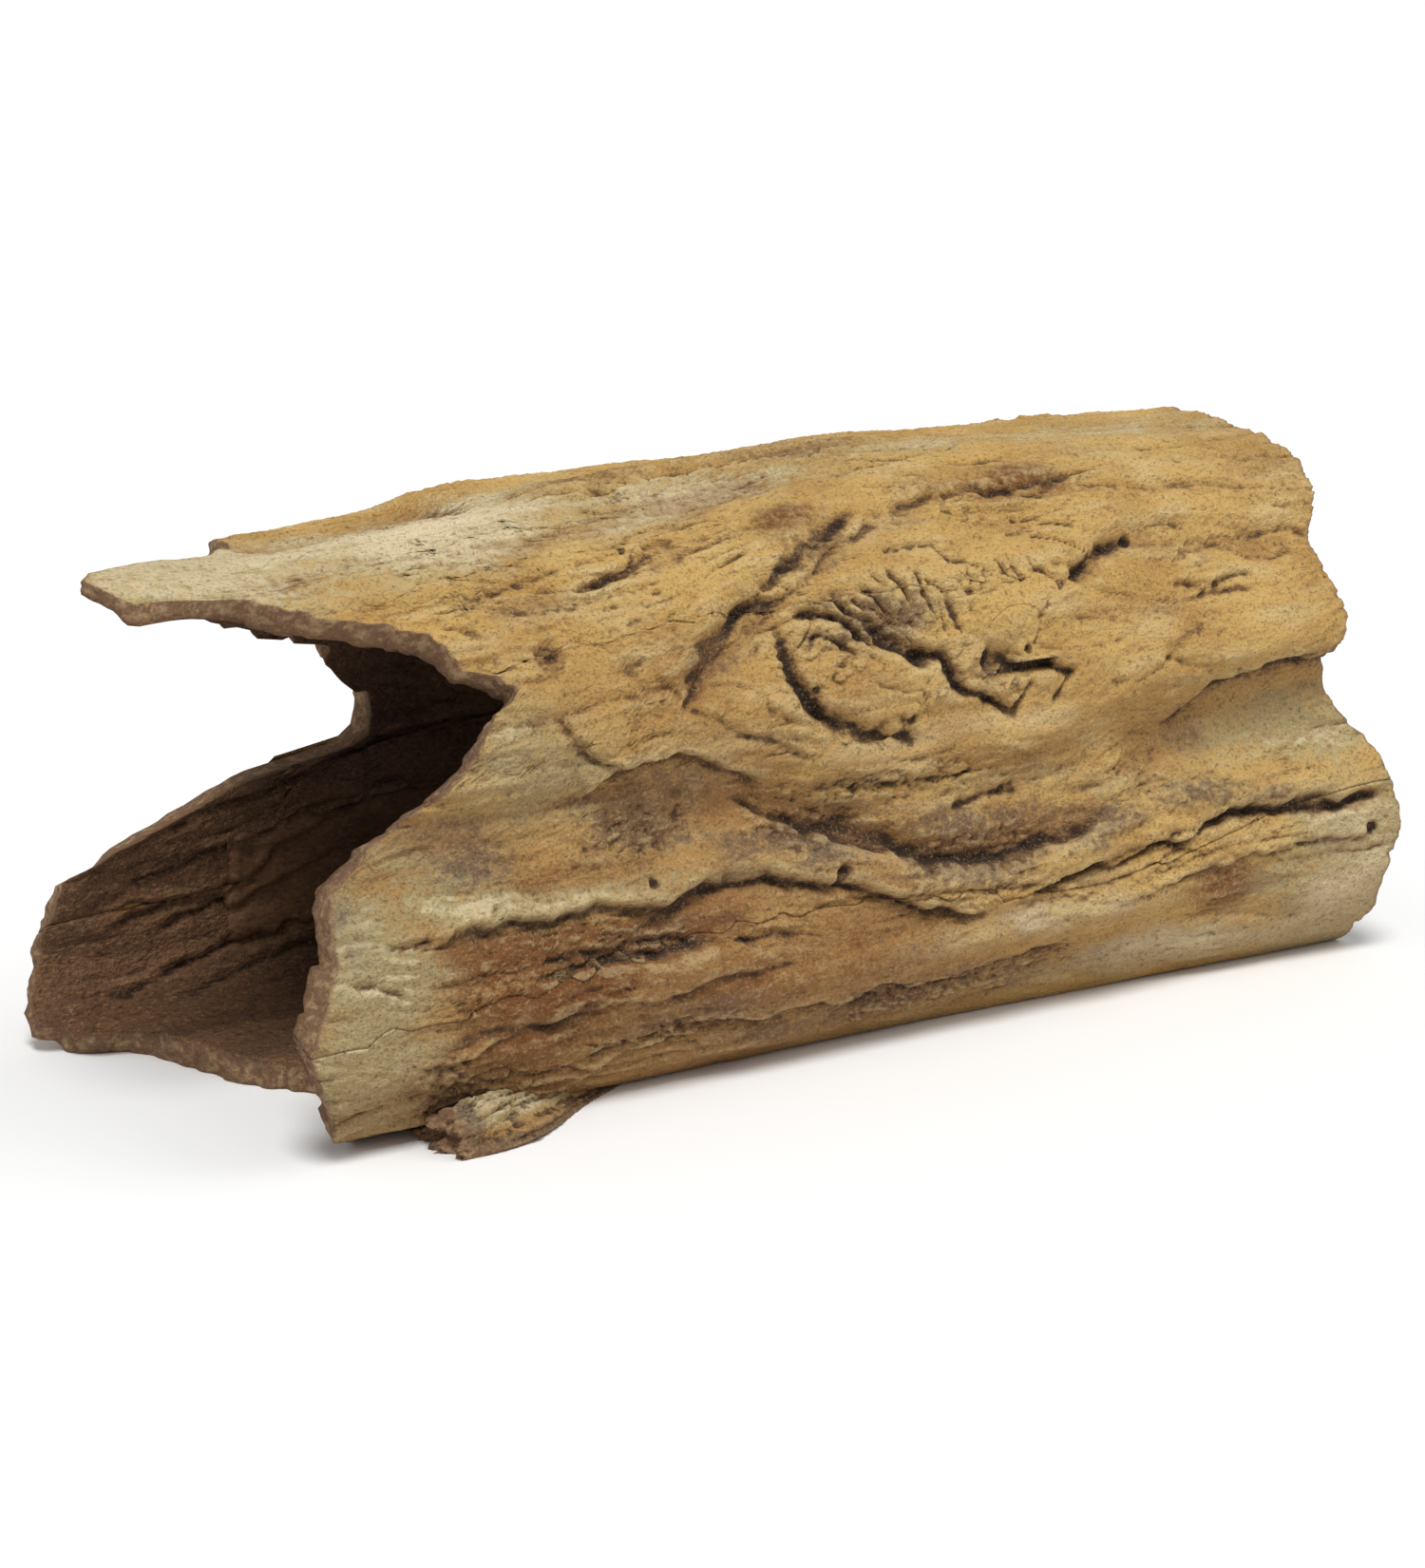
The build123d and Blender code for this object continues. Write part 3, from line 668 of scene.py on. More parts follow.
def numbered(points):
    """The numbers of a grid of points."""
    return np.arange(points.shape[0] * points.shape[1]).reshape(points.shape[:2])


def grid_faces(index, closed_across=False, closed_along=False):
    """Quads over a grid of point numbers."""
    a = np.concatenate([index, index[:1]], 0) if closed_across else index
    if closed_along:
        a = np.concatenate([a, a[:, :1]], 1)
    quads = np.stack([a[:-1, :-1], a[1:, :-1], a[1:, 1:], a[:-1, 1:]], -1).reshape(-1, 4)
    return [tuple(quad) for quad in quads.tolist()]


def spaced(total, start_fine, end_fine):
    """Shares of a length, close together where it is near and wider beyond."""
    marks, at = [0.0], 0.0
    while at < total:
        at += SPACING if start_fine <= at <= end_fine else COARSE
        marks.append(at)
    marks = np.array(marks)
    return marks / marks[-1]


def jag(x, angle, seed):
    """How far a broken edge strays along the log."""
    q = np.stack([np.cos(angle) * 55, np.sin(angle) * 55, x + seed], -1)
    slope = np.abs(np.gradient(x)) / SPACING
    slope = np.convolve(np.pad(slope, 8, mode="edge"), np.ones(17) / 17, "valid")
    broad = 1.6 * fbm(q / 8.0, 2, 81) * np.clip(0.4 + 1.1 * slope, 0.5, 2.0)
    return broad + (1.1 * noise(q / 4.6, 82) + 0.4 * noise(q / 2.8, 83)) * np.clip(1.3 - 0.35 * slope, 0.4, 1)


def eased(offset):
    """How far the inner edge of a broken end lies from its outer edge, without sudden jumps."""
    middle = np.median(np.stack([np.roll(offset, k) for k in range(-9, 10)]), 0)
    middle[:9], middle[-9:] = middle[9], middle[-10]
    return np.clip(np.convolve(np.pad(middle, 6, mode="edge"), np.ones(13) / 13, "valid"), -4, 4)


# The beak is drawn higher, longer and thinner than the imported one, by these millimetres at its tip.
BEAK_RISE, BEAK_REACH, BEAK_THINNING = 2.6, 8, 4.2
# The recesses under the knot and the stub: their depth, and the lowest relief that is followed there
RECESS_DEPTH, RECESS_RELIEF = 4.5, -1.8
SEAM_GAP, RIM_POINTS = 0.12, 9


def on_beak(x, angle, start=45, full=0):
    """0 off the roof's beak and 1 on it, by the distance from its tip."""
    return smooth(TIP + start, TIP + full, x) * smooth(1.3, 0.9, np.abs(angle))


def build_shell(name, node, begin, end, fine):
    """Half of the log: begin and end are its seams' angles along XS, and fine is the girth with a close grid."""
    middle = len(XS) // 2
    total = np.interp(end[middle], FINE, GIRTH[middle]) - np.interp(begin[middle], FINE, GIRTH[middle])
    rows = spaced(abs(total), *fine)
    gap = SEAM_GAP + SEAM_GAP * np.abs(noise(np.stack([XS / 16, 0 * XS, 0 * XS], -1), 91))  # half of the seam
    turn = np.sign(total)
    first = np.array([np.interp(b, FINE, g) for b, g in zip(begin, GIRTH)]) + turn * gap
    last = np.array([np.interp(e, FINE, g) for e, g in zip(end, GIRTH)]) - turn * gap
    sheet = np.array([np.interp(first[i] + rows * (last[i] - first[i]), GIRTH[i], FINE) for i in range(len(XS))])

    def angles(x):
        i0 = np.floor(section(x)).astype(int)
        f = section(x) - i0
        row = np.arange(len(rows)).reshape(-1, *[1] * (x.ndim - 1)) + 0 * i0
        return sheet[i0, row] * (1 - f) + sheet[i0 + 1, row] * f

    def end_of(ends, seed):
        x = np.full(len(rows), ends.mean())
        for _ in range(12):
            x = 0.4 * x + 0.6 * at_angle(ends, angles(x))
        tip = on_beak(x, angles(x), 26, 2)
        return x - BEAK_REACH * tip + jag(x, angles(x), seed) * (1 - 0.7 * tip)

    out0, out1 = end_of(mouth_ends[0], 0), end_of(tail_ends[0], 40)
    in0 = out0 + eased(end_of(mouth_ends[1], 0) - out0)
    in1 = out1 + eased(end_of(tail_ends[1], 40) - out1)
    columns = 2 * (int((cad_high.x - cad_low.x) * MM / SPACING) // 2) + 1
    t = np.linspace(0, 1, columns)
    x = out0[:, None] + (out1 - out0)[:, None] * t
    angle = angles(x)
    base = point(OUTER, x, angle)
    s = girth(x, angle)
    relief, painted_shade = carved(x, s, base)
    base[..., 2] += BEAK_RISE * on_beak(x, angle)
    relief = relief * (1 - 0.75 * smooth(TIP + 26, TIP + 6, x) * (on_beak(x, angle) > 0))
    foot = smooth(6, 1.5, base[..., 2])
    relief = relief * (1 - foot) - 0.3 * foot * np.abs(relief)
    # The relief less its blur: below zero in creases and hollows, above zero on crests. The bark paint lays painted
    # shade and painted highlights by it.
    fine_cut = relief - spread(relief, (2 / SPACING, 2 / SPACING))
    wide_cut = relief - spread(relief, (9 / SPACING, 9 / SPACING))
    recess = sunk(x, s)
    lift = relief * (1 - recess) + (np.maximum(relief, RECESS_RELIEF) - RECESS_DEPTH) * recess
    outside = base + outward(OUTER, x, angle) * lift[..., None]
    outside[..., 2] = np.maximum(outside[..., 2], FLOOR + 0.02)

    ti = np.linspace(0, 1, (columns + 1) // 2)
    xi = in0[:, None] + (in1 - in0)[:, None] * ti
    ai = angles(xi)
    inner_base = point(INNER, xi, ai)
    inner_base[..., 2] += BEAK_RISE * on_beak(xi, ai)
    inner_relief = wrinkled(xi, girth(xi, ai), inner_base)
    from_edge = np.minimum(xi - in0[:, None], in1[:, None] - xi)
    inner_relief = inner_relief * (0.25 + 0.75 * smooth(0, 12, from_edge))
    thinner = BEAK_THINNING * smooth(TIP + 34, TIP + 12, xi) * smooth(1.25, 0.8, np.abs(ai))
    inside = inner_base + outward(INNER, xi, ai) * (thinner - inner_relief)[..., None]
    # The inside's relief less its blur. The cave paint lays painted shade in the wrinkles' hollows and painted
    # highlights on their crests by it.
    inner_cut = inner_relief - spread(inner_relief, (2.5 / COARSE, 2.5 / COARSE))

    def rim(start, stop, seed):
        """The broken face between the outer and the inner skin, rim points only."""
        k = np.linspace(0, 1, RIM_POINTS)[1:-1][None, :, None]
        line = start[:, None] * (1 - k) + stop[:, None] * k
        rough = fbm(line / 2.6, 2, seed) + 0.8 * fbm(line / 6, 2, seed + 5)
        line = line + np.sin(np.pi * k) * rough[..., None] * np.array([0.9, 0, 0])
        line[..., 1:] += 0.25 * noise(line / 1.5, seed + 9)[..., None]
        return line

    tail_rim, mouth_rim = rim(outside[:, -1], inside[:, -1], 95), rim(inside[:, 0], outside[:, 0], 98)
    loop = np.concatenate([outside, tail_rim, inside[:, ::-1], mouth_rim], 1)
    n, m, k = outside.shape[1], inside.shape[1], tail_rim.shape[1]
    index = numbered(loop)
    caps = []
    for row, flip in ((0, False), (len(rows) - 1, True)):
        outer_row, inner_row = index[row, :n], index[row, n + k : n + k + m][::-1]
        cap = []
        for j in range(m - 1):
            a, b, c = outer_row[2 * j], outer_row[2 * j + 1], outer_row[2 * j + 2]
            d, e = inner_row[j], inner_row[j + 1]
            cap += [(a, b, d), (b, e, d), (b, c, e)]
        cap.append((outer_row[-1], *index[row, n : n + k], inner_row[-1]))
        cap.append((inner_row[0], *index[row, n + k + m :], outer_row[0]))
        caps += [f[::-1] if flip else f for f in cap]

    edge = np.exp(-np.minimum(np.abs(x - out0[:, None]), np.abs(x - out1[:, None])) / 2.2)
    flat, none = np.zeros_like(tail_rim[..., 0]), np.zeros_like(inner_cut)
    mix = np.linspace(0, 1, k + 2)[1:-1][None, :] + flat

    def joined(outer, tail=flat, inner=none, mouth=flat):
        return np.concatenate([outer, tail, inner, mouth], 1)

    values = {
        "cut": joined(fine_cut, inner=inner_cut[:, ::-1]),
        "hollow": joined(wide_cut),
        "painted_shade": joined(painted_shade),
        "rim": joined(0.8 * edge, flat + 1, none, flat + 1),
        "inside": joined(0 * painted_shade, smooth(0.55, 1, mix), none + 1, smooth(0.45, 0, mix)),
        "lower": joined(lower_part(x, s)),
    }
    values |= {key: joined(zone(x, s, base, blobs)) for key, blobs in ZONES.items()}
    return make_object(name, loop, grid_faces(index, closed_along=True) + caps, values, node)


# Long furrows on the inside of the far wall: width, depth and places
FURROWS = [
    (1.6, 2.0, [(-165, -128), (-157, -136), (-138, -127), (-126, -121), (-110, -119), (-78, -110), (-30, -108)]),
    (1.3, 1.6, [(-156, -152), (-148, -151), (-129, -151), (-110, -147), (-104, -139), (-82, -130), (-50, -128)]),
    (1.2, 1.5, [(-159, -169), (-148, -172), (-128, -170), (-90, -167), (-40, -168)]),
    (1.2, 1.3, [(-150, -143), (-125, -137), (-95, -129), (-60, -122)]),
    (1.2, 1.3, [(-140, -158), (-118, -156), (-100, -149), (-80, -142)]),
    (1.3, 1.2, [(-135, -180), (-110, -178), (-70, -176)]),
]


def wrinkled(x, s, place):
    """The inside's relief in millimetres."""
    q = place + 3.0 * noise(place / 30, 101)[..., None]
    long = np.array([60, 7.5, 7.5])
    relief = 1.3 * (creases(q / long, 2, 103) - 0.5)
    relief += 0.7 * (creases(q / np.array([34, 3.4, 3.4]), 2, 105) - 0.5)
    relief += 0.35 * fbm(place / 2.6, 2, 107)
    flat, fx, fs, place = relief.ravel(), x.ravel(), s.ravel(), place.reshape(-1, 3)
    fs = np.where(fs > PERIMETER / 2, fs - PERIMETER, fs)
    wobble = noise(place / 8, 109)
    for width, depth, places in FURROWS:
        chosen, signed, share = near_line(fx, fs, places, 5 * width + 2)
        taper = smooth(0, 0.1, share) * smooth(1, 0.8, share)
        signed = signed + 1.2 * wobble[chosen]
        flat[chosen] -= depth * taper * np.exp(-((signed / width) ** 2))
        flat[chosen] += 0.6 * depth * taper * np.exp(-(((signed - 2.2 * width) / (1.5 * width)) ** 2))
    return flat.reshape(x.shape)


def disc_faces(index):
    """Faces of a polar grid, closed round, whose first and last rings are one point each."""
    first, last = int(index[0, 0]), int(index[-1, 0])
    turned = np.roll(index, -1, 1)
    faces = [(first, int(a), int(b)) for a, b in zip(index[1], turned[1])]
    faces += grid_faces(index[1:-1], closed_along=True)
    return faces + [(int(a), last, int(b)) for a, b in zip(index[-2], turned[-2])]


def polar(place, share):
    """Places (x, s) of an oval's polar grid at shares of its radius."""
    cx, cs, rx, rs = place
    turn = np.linspace(0, TAU, 240, endpoint=False)[None, :]
    ragged = 1.03 + 0.03 * noise(np.stack([3 * np.cos(turn), 3 * np.sin(turn), 0 * turn + cx], -1), 131)
    share = np.asarray(share)[:, None]
    return cx + rx * share * ragged * np.cos(turn), cs + rs * share * ragged * np.sin(turn)


def build_disc(name, node, place, share, depth):
    """A round piece on the bark: rings at shares of its oval, at depths below the bark's relief."""
    share, depth = np.array(share), np.array(depth)[:, None]
    x, s = polar(place, share)
    angle = angle_at(x, s)
    base = point(OUTER, x, angle)
    relief, painted_shade = carved(x, s, base)
    seen = relief + 0.03 - 0.45 * smooth(0.965, 1.0, share)[:, None] - depth
    lift = np.where(depth < 2, seen, np.maximum(relief, RECESS_RELIEF) - depth)
    points = base + outward(OUTER, x, angle) * lift[..., None]
    # The relief less its blur, for the paint's painted shade in creases and painted highlights on crests.
    cut = relief - spread(relief, (2.0 / SPACING, 6))
    values = {"cut": cut, "hollow": 0.6 * cut, "painted_shade": painted_shade, "rim": 0 * x, "inside": 0 * x}
    values |= {key: zone(x, s, base, blobs) for key, blobs in ZONES.items()} | {"lower": lower_part(x, s)}
    index = numbered(x)
    index[0, :], index[-1, :] = index[0, 0], index[-1, 0]
    used, index = np.unique(index, return_inverse=True)
    values = {key: v.ravel()[used] for key, v in values.items()}
    faces = disc_faces(index.reshape(x.shape))
    return make_object(name, points.reshape(-1, 3)[used], faces, values, node)


def build_boss(name, node, place):
    """A knot or stub that lies in its recess and shares the bark's relief."""
    top = np.linspace(0, 1, int(place[2] / SPACING) + 1)
    share, depth = [*top, 0.965, 0.96, 0.7, 0.35, 0], [*(0 * top), 1.6, 4.0, 4.0, 4.0, 4.0]
    return build_disc(name, node, place, share, depth)


def build_bed(name, node, place):
    """The adhesive bed between a boss and its recess."""
    share = [0, 0.35, 0.7, 0.92, 0.93, 0.92, 0.7, 0.35, 0]
    return build_disc(name, node, place, share, [4.0] * 4 + [4.25] + [RECESS_DEPTH] * 4)


def tube_faces(index):
    """A closed skin over loops of points, one loop to a column, with both ends capped."""
    caps = [tuple(int(v) for v in index[:, 0]), tuple(int(v) for v in index[::-1, -1])]
    return grid_faces(index, closed_across=True) + caps


def build_filler(name, node, seam):
    """The filler in a seam: a thin strip that stands back from the bark."""
    start = at_angle(mouth_ends[0], seam[0]) + 2.5
    stop = at_angle(tail_ends[0], seam[-1]) - 2.5
    x = np.arange(start, stop, 0.9)
    angle = np.interp(x, XS, seam)
    here = girth(x, angle)
    loops, painted_shades = [], []
    for across, table in ((-1, OUTER), (0, OUTER), (1, OUTER), (1, INNER), (-1, INNER)):
        s = here + across * 0.6
        turned = angle_at(x, s)
        base = point(table, x, turned)
        if table is OUTER:
            relief, painted_shade = carved(x, s, base)
            base = base + outward(OUTER, x, turned) * (relief - 1.5)[:, None]
        else:
            base = base + outward(INNER, x, turned) * 0.6
        loops.append(base)
        # The bark's painted shade, carried onto the filler strip.
        painted_shades.append(painted_shade)
    points = np.stack(loops)
    faces = tube_faces(numbered(points))
    return make_object(name, points, faces, {"painted_shade": np.stack(painted_shades)}, node)


def build_mat(name, node, seam):
    """The mat over a seam inside, bedded in the wall's wrinkles."""
    low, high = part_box(node)
    half = 0.31 * MM * (high.z - low.z)
    x = np.arange(low.x * MM, high.x * MM, COARSE)[None, :]
    middle = np.interp(x, XS, seam)
    edge = half + 1.3 * noise(np.stack([x / 7, 0 * x, 0 * x], -1), 151)
    top = np.linspace(-1, 1, 27)[:, None]
    across = np.concatenate([top, [[0.99], [0.3], [-0.3], [-0.99]]])
    lift = np.concatenate([1.25 * smooth(1.0, 0.93, np.abs(top)) - 0.15, [[-1.1]] * 4])
    angle = middle + across * edge / radius(INNER, x, middle)
    x = x + 0 * angle
    base = point(INNER, x, angle)
    relief = wrinkled(x, girth(x, angle), base)
    weave = 0.22 * creases(base / np.array([5, 1.6, 1.6]), 2, 153)
    ends = smooth(0, 2.5, x - x[:, :1]) * smooth(0, 2.5, x[:, -1:] - x)
    rise = np.where(lift > -0.5, (lift + weave) * ends - 0.4 * (1 - ends), lift) + relief
    points = base - outward(INNER, x, angle) * rise[..., None]
    # The weave less its blur, for painted shade in its hollows and painted highlights on its crests.
    cut = weave - spread(weave, (2, 2))
    return make_object(
        name, points, tube_faces(numbered(points)), {"cut": cut, "inside": 0 * cut + 1}, node
    )


def tucked(points):
    """The splinter's tail drawn in under the log, for points of the splinter or its adhesive."""
    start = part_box("root_splinter")[0].x * MM
    tail = smooth(start + 16, start + 54, points[:, 0])
    lean = 3.5 * smooth(start + 4, start + 20, points[:, 0]) * smooth(4, 9, points[:, 2])
    flat = 0.76 - 0.3 * smooth(start + 10, start + 60, points[:, 0])
    return np.stack([points[:, 0], points[:, 1] + 9 * tail + lean, points[:, 2] * flat * (1 - 0.4 * tail)], -1)


def build_splinter_bed(name, node):
    """The adhesive between the splinter and the log, drawn in with the splinter's tail."""
    points, faces = node_mesh(node)
    return make_object(name, tucked(np.array(points)), [tuple(f) for f in faces], {}, node)


SPLINTER_VOXEL = 0.0008  # metres


def build_splinter(name, node):
    """The root splinter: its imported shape, remeshed and split along its own grain."""
    copy = bpy.data.objects.new("splinter_copy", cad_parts[node].data.copy())
    bpy.context.scene.collection.objects.link(copy)
    remesh = copy.modifiers.new("remesh", "REMESH")
    remesh.mode, remesh.voxel_size = "VOXEL", SPLINTER_VOXEL
    bpy.context.view_layer.update()
    done = copy.evaluated_get(bpy.context.evaluated_depsgraph_get()).data
    p = np.array([v.co for v in done.vertices]) * MM
    n = np.array([v.normal for v in done.vertices])
    faces = [tuple(f.vertices) for f in done.polygons]
    bpy.data.objects.remove(copy)
    start = p[:, 0].min()
    way, side = np.array([0.91, 0.40, 0.06]), np.array([-0.40, 0.91, 0])
    grooves = creases(np.stack([p @ way / 44, p @ side / 4.0, p[:, 2] / 3.2], -1), 3, 161)
    relief = 2.4 * (grooves - 0.5) + 0.5 * fbm(p / 2.4, 2, 163) + 1.0 * noise(p / 9, 165)
    points = tucked(p + n * (relief * smooth(0.3, 2.5, p[:, 2]))[:, None])
    ragged = np.stack([0 * p[:, 0], p[:, 1] / 4, p[:, 2] / 3.5], -1)
    points[:, 0] += 4.0 * fbm(ragged, 3, 167) * smooth(start + 14, start + 1, p[:, 0])
    points[:, 2] = np.maximum(points[:, 2], FLOOR + 0.02)
    cut = 1.1 * (grooves - 0.5) + 0.3 * noise(p / 2.2, 169)
    # Darker low down by the floor and at the broken tip, paler higher up.
    dusk = np.maximum(smooth(8, 2, p[:, 2]), smooth(start + 13, start + 4, p[:, 0]))
    values = {
        "cut": cut,
        "hollow": 0.6 * cut,
        # Painted shade in the splinter's grooves.
        "painted_shade": smooth(0.1, -0.4, cut) * 0.8,
        "rim": smooth(start + 7, start + 1, p[:, 0]),
        "pale": smooth(5, 9, p[:, 2]) * 0.8,
        "rust": 0 * cut + 0.1,
        "dusk": dusk,
        "lower": 0 * cut + 0.8,
    }
    return make_object(name, points, faces, values, node)


pieces = [
    build_shell("upper_bark", "upper_shell", NEAR_SEAM, FAR_SEAM, (0, 185)),
    build_shell("lower_bark", "lower_shell", NEAR_SEAM, FAR_SEAM + TAU, (0, 60)),
    build_boss("knot_look", "knot_boss", RECESSES[0]),
    build_boss("stub_look", "branch_stub", RECESSES[1]),
    build_bed("knot_bed", "knot_bond", RECESSES[0]),
    build_bed("stub_bed", "stub_bond", RECESSES[1]),
    build_filler("near_filler", "near_seam_bond", NEAR_SEAM),
    build_filler("far_filler", "far_seam_bond", FAR_SEAM),
    build_mat("near_mat", "near_seam_strip", NEAR_SEAM),
    build_mat("far_mat", "far_seam_strip", FAR_SEAM),
    build_splinter("splinter_look", "root_splinter"),
    build_splinter_bed("splinter_bed", "splinter_bond"),
]

# ------------------------------------------------------------------------------------------ materials


class Paint:
    """Short names for the nodes of one material."""

    def __init__(self, name):
        self.material = bpy.data.materials.new(name)
        self.material.use_nodes = True
        self.tree = self.material.node_tree
        self.tree.nodes.clear()
        self.place = self.add("ShaderNodeTexCoord").outputs["Object"]
        self.shader = self.add("ShaderNodeBsdfPrincipled")
        self.shader.inputs["Specular IOR Level"].default_value = 0.3
        out = self.add("ShaderNodeOutputMaterial")
        self.tree.links.new(self.shader.outputs[0], out.inputs[0])

    def add(self, kind, **settings):
        node = self.tree.nodes.new(kind)
        for key, value in settings.items():
            setattr(node, key, value)
        return node

    def put(self, value, socket):
        if isinstance(value, bpy.types.NodeSocket):
            self.tree.links.new(value, socket)
        else:
            socket.default_value = value

    def attribute(self, name):
        return self.add("ShaderNodeAttribute", attribute_name=name).outputs["Fac"]

    def texture(self, scale, detail=3.0, stretch=(1, 1, 1)):
        """Noise with a size in millimetres."""
        mapping = self.add("ShaderNodeMapping")
        self.put(self.place, mapping.inputs["Vector"])
        mapping.inputs["Scale"].default_value = [MM / scale / v for v in stretch]
        node = self.add("ShaderNodeTexNoise")
        for key, value in (("Scale", 1.0), ("Detail", detail), ("Roughness", 0.55)):
            node.inputs[key].default_value = value
        self.put(mapping.outputs[0], node.inputs["Vector"])
        return node.outputs["Fac"]

    def ramp(self, value, low, high, to_low=0.0, to_high=1.0):
        node = self.add("ShaderNodeMapRange", interpolation_type="SMOOTHSTEP")
        keys = ("Value", "From Min", "From Max", "To Min", "To Max")
        for v, key in zip((value, low, high, to_low, to_high), keys):
            self.put(v, node.inputs[key])
        return node.outputs["Result"]

    def math(self, operation, a, b):
        node = self.add("ShaderNodeMath", operation=operation)
        self.put(a, node.inputs[0])
        self.put(b, node.inputs[1])
        return node.outputs[0]

    def mix(self, share, a, b):
        node = self.add("ShaderNodeMix", data_type="RGBA", clamp_factor=True)
        self.put(share, node.inputs["Factor"])
        for value, socket in ((a, node.inputs[6]), (b, node.inputs[7])):
            self.put(value if isinstance(value, bpy.types.NodeSocket) else (*value, 1), socket)
        return node.outputs[2]

    def coats(self, colour, layers):
        """Coats over a colour: what decides each, where it starts and is full, its most cover and its colour."""
        for value, start, full, cover, coat in layers:
            colour = self.mix(self.ramp(value, start, full, 0, cover), colour, coat)
        return colour

    def loosened(self, value, texture, amount):
        """A value with a texture's ups and downs added."""
        return self.math("ADD", value, self.math("MULTIPLY", self.math("SUBTRACT", texture, 0.5), amount))

    def bump(self, height, strength, distance):
        node = self.add("ShaderNodeBump")
        node.inputs["Strength"].default_value = strength
        node.inputs["Distance"].default_value = distance
        self.put(height, node.inputs["Height"])
        self.put(node.outputs[0], self.shader.inputs["Normal"])


def linear(r, g, b):
    """A colour from its usual 0 to 255 numbers."""
    return tuple(((v / 255 + 0.055) / 1.055) ** 2.4 if v > 10 else v / 255 / 12.92 for v in (r, g, b))


STRAW, OCHRE, CREAM = linear(204, 166, 98), linear(184, 142, 78), linear(216, 193, 142)
PALE, RUST, DUSK = linear(164, 151, 110), linear(114, 66, 29), linear(100, 80, 66)
LIGHT = linear(224, 206, 166)
BROWN, UMBER, DEEP = linear(148, 106, 62), linear(84, 59, 40), linear(42, 30, 23)
RIM, RIM_LIGHT = linear(120, 90, 66), linear(170, 140, 104)
CAVE, CAVE_LIGHT, CAVE_DEEP = linear(122, 88, 60), linear(166, 128, 92), linear(58, 40, 28)


def bark_paint(name, warmth):
    """Painted resin bark: straw, painted patches, painted shade in the cracks, hollows and undersides, painted
    highlights on crests and tops, raw broken rims and the dark inside.
    """
    m = Paint(name)
    cut, hollow, painted_shade, up = (m.attribute(k) for k in ("cut", "hollow", "painted_shade", "up"))
    broad, streak = m.texture(30, 4), m.texture(7, 5, (4, 1, 1))
    grit, dots, fleck = m.texture(0.8, 3), m.texture(2.6, 5), m.texture(1.4, 4, (1.6, 1, 1))

    def patch(key, amount):
        return m.math("MULTIPLY", m.attribute(key), m.loosened(1.0, dots, amount))

    pale, shade_mask = patch("pale", 2.2), m.loosened(painted_shade, fleck, 1.5)
    layers = [
        (broad, 0.38, 0.64, 0.8, OCHRE),
        (streak, 0.46, 0.72, 0.5, CREAM),
        (m.loosened(m.attribute("lower"), broad, 0.9), 0.1, 1.1, 0.6 + warmth, BROWN),
        (patch("rust", 2.0), 0.1, 1.1, 0.92, RUST),
        (pale, 0.1, 1.0, 0.85, PALE),
        # Painted highlight on the upward faces of the pale patches.
        (m.math("MULTIPLY", pale, up), 0.3, 1.0, 0.7, LIGHT),
        (m.math("MULTIPLY", m.attribute("light"), m.math("ADD", dots, 0.6)), 0.1, 1.0, 1.0, LIGHT),
        (patch("dusk", 3.0), 0.15, 0.95, 0.8, DUSK),
        # Painted shade on the undersides, where faces turn down.
        (m.math("SUBTRACT", m.loosened(0.0, dots, 0.8), up), -0.5, 0.5, 0.35, BROWN),
        # Painted shade in the broad hollows of the relief.
        (m.loosened(hollow, dots, 1.6), 0.1, -1.8, 0.6, BROWN),
        # Painted shade in the fine creases of the relief.
        (m.loosened(cut, dots, 0.8), -0.15, -0.9, 0.75, UMBER),
        # Painted shade from the carved shade mask in grooves, cracks, pits and under ledges, near black in the
        # deepest.
        (shade_mask, 0.2, 0.8, 0.75, UMBER),
        (m.math("SUBTRACT", shade_mask, m.math("MULTIPLY", cut, 0.55)), 0.7, 1.5, 0.9, DEEP),
        # Painted highlight on the fine crests of the relief.
        (m.loosened(cut, fleck, 1.6), 0.15, 0.8, 0.32, CREAM),
        (fleck, 0.56, 0.7, 0.45, UMBER),
        (grit, 0.54, 0.68, 0.4, UMBER),
        (grit, 0.46, 0.32, 0.22, CREAM),
    ]
    rim = m.coats(RIM, [(dots, 0.42, 0.7, 1.0, RIM_LIGHT), (grit, 0.52, 0.7, 0.6, CAVE)])
    edge = m.loosened(m.attribute("rim"), dots, 1.4)
    colour = m.coats(STRAW, [*layers, (edge, 0.4, 0.9, 1.0, rim)])
    colour = m.mix(m.attribute("inside"), colour, cave_colour(m, cut))
    m.put(colour, m.shader.inputs["Base Color"])
    m.put(m.ramp(dots, 0.3, 0.7, 0.75, 0.95), m.shader.inputs["Roughness"])
    m.bump(m.math("ADD", grit, m.math("MULTIPLY", fleck, 1.4)), 1.0, 0.0009)
    return m.material


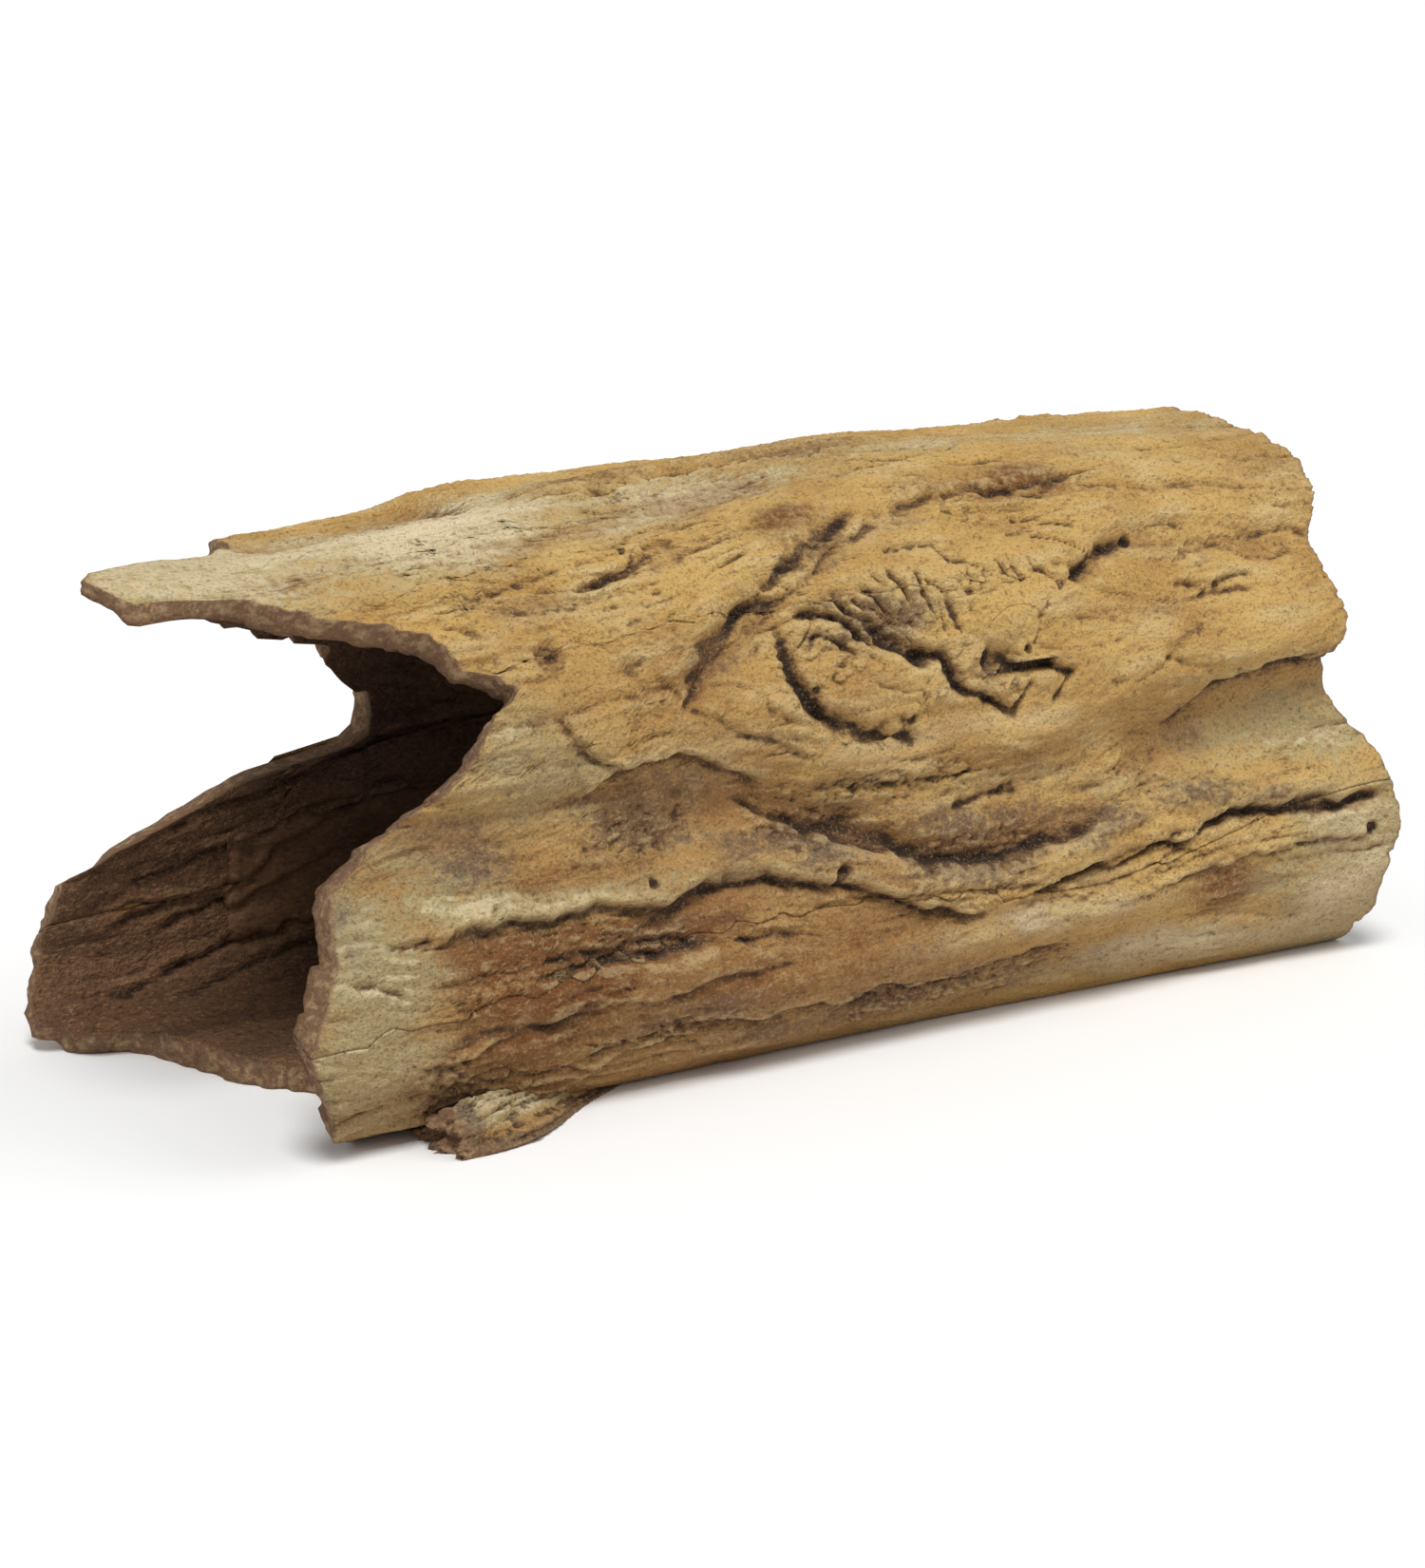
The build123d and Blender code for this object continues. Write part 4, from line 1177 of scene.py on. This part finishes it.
def cave_colour(m, cut):
    """The dark brown inside: light flecks, wrinkles with painted shade in their hollows and painted highlights on
    their crests, and painted shade deeper in, away from the mouth.
    """
    flecks, patch = m.texture(0.9, 3, (2, 1, 1)), m.texture(20, 3, (3, 1, 1))
    split = m.add("ShaderNodeSeparateXYZ")
    m.put(m.place, split.inputs[0])
    layers = [
        (patch, 0.35, 0.7, 0.6, CAVE_DEEP),
        # Painted shade in the wrinkles' hollows and a painted highlight on their crests.
        (cut, -0.05, -0.6, 0.9, CAVE_DEEP),
        (cut, 0.15, 0.8, 0.5, CAVE_LIGHT),
        (flecks, 0.54, 0.7, 0.5, CAVE_LIGHT),
        (flecks, 0.46, 0.34, 0.6, CAVE_DEEP),
        # Painted shade deeper inside, away from the mouth.
        (split.outputs[0], -0.15, -0.06, 0.55, CAVE_DEEP),
    ]
    return m.coats(CAVE, layers)


def cave_paint(name):
    m = Paint(name)
    m.put(cave_colour(m, m.attribute("cut")), m.shader.inputs["Base Color"])
    m.put(m.ramp(m.texture(3, 3), 0.3, 0.7, 0.75, 0.95), m.shader.inputs["Roughness"])
    m.bump(m.texture(0.9, 3, (2, 1, 1)), 0.5, 0.0004)
    return m.material


def filler_paint(name):
    m = Paint(name)
    grit = m.texture(1.2, 4)
    m.put(m.mix(m.ramp(grit, 0.4, 0.7), DEEP, UMBER), m.shader.inputs["Base Color"])
    m.put(m.ramp(grit, 0.3, 0.7, 0.6, 0.9), m.shader.inputs["Roughness"])
    m.bump(grit, 0.6, 0.0004)
    return m.material


upper, lower, cave, filler = (
    bark_paint("bark_upper_paint", 0.0),
    bark_paint("bark_lower_paint", 0.1),
    cave_paint("cave_paint"),
    filler_paint("filler_paint"),
)
for piece in pieces:
    paint = upper
    if piece.name.endswith("_bed"):
        paint = filler
    elif piece.name.endswith("_mat"):
        paint = cave
    elif piece.name in ("lower_bark", "near_filler", "far_filler", "splinter_look"):
        paint = lower
    piece.data.materials.append(paint)

# -------------------------------------------------------------------------------- camera, floor, light

AZIMUTH, ELEVATION, DISTANCE = math.radians(-34), math.radians(13.5), 0.9765
aim = Vector((-0.0262, -0.0315, 0.0704))
back = Vector(
    (math.sin(AZIMUTH) * math.cos(ELEVATION), -math.cos(AZIMUTH) * math.cos(ELEVATION), math.sin(ELEVATION))
)
camera = bpy.data.objects.new("camera", bpy.data.cameras.new("camera"))
bpy.context.scene.collection.objects.link(camera)
camera.data.lens, camera.data.sensor_width = 87.27, 36
camera.location = aim + back * DISTANCE
camera.rotation_euler = (-back).to_track_quat("-Z", "Y").to_euler()
bpy.context.scene.camera = camera

floor_mesh = bpy.data.meshes.new("floor")
floor_mesh.from_pydata([(-15, -15, 0), (15, -15, 0), (15, 15, 0), (-15, 15, 0)], [], [(0, 1, 2, 3)])
floor = bpy.data.objects.new("floor", floor_mesh)
floor.location.z = cad_low.z
bpy.context.scene.collection.objects.link(floor)
paper = Paint("paper")
paper.shader.inputs["Base Color"].default_value = (0.92, 0.92, 0.915, 1)
paper.shader.inputs["Roughness"].default_value = 0.9
floor_mesh.materials.append(paper.material)


def sun(name, azimuth, elevation, power, softness):
    """A soft light from an azimuth and elevation in degrees, as the camera's are counted."""
    light = bpy.data.lights.new(name, "SUN")
    light.energy, light.angle = power, math.radians(softness)
    a, e = math.radians(azimuth), math.radians(elevation)
    holder = bpy.data.objects.new(name, light)
    away = Vector((math.sin(a) * math.cos(e), -math.cos(a) * math.cos(e), math.sin(e)))
    holder.rotation_euler = away.to_track_quat("Z", "Y").to_euler()
    holder.location = away * 2
    bpy.context.scene.collection.objects.link(holder)


sun("key", -30, 64, 2.15, 20)
sun("side", 60, 40, 0.5, 40)
world = bpy.data.worlds.new("studio")
world.use_nodes = True
world.node_tree.nodes["Background"].inputs[0].default_value = (1, 1, 1, 1)
world.node_tree.nodes["Background"].inputs[1].default_value = 0.45
bpy.context.scene.world = world
bpy.context.scene.view_settings.view_transform = "Standard"
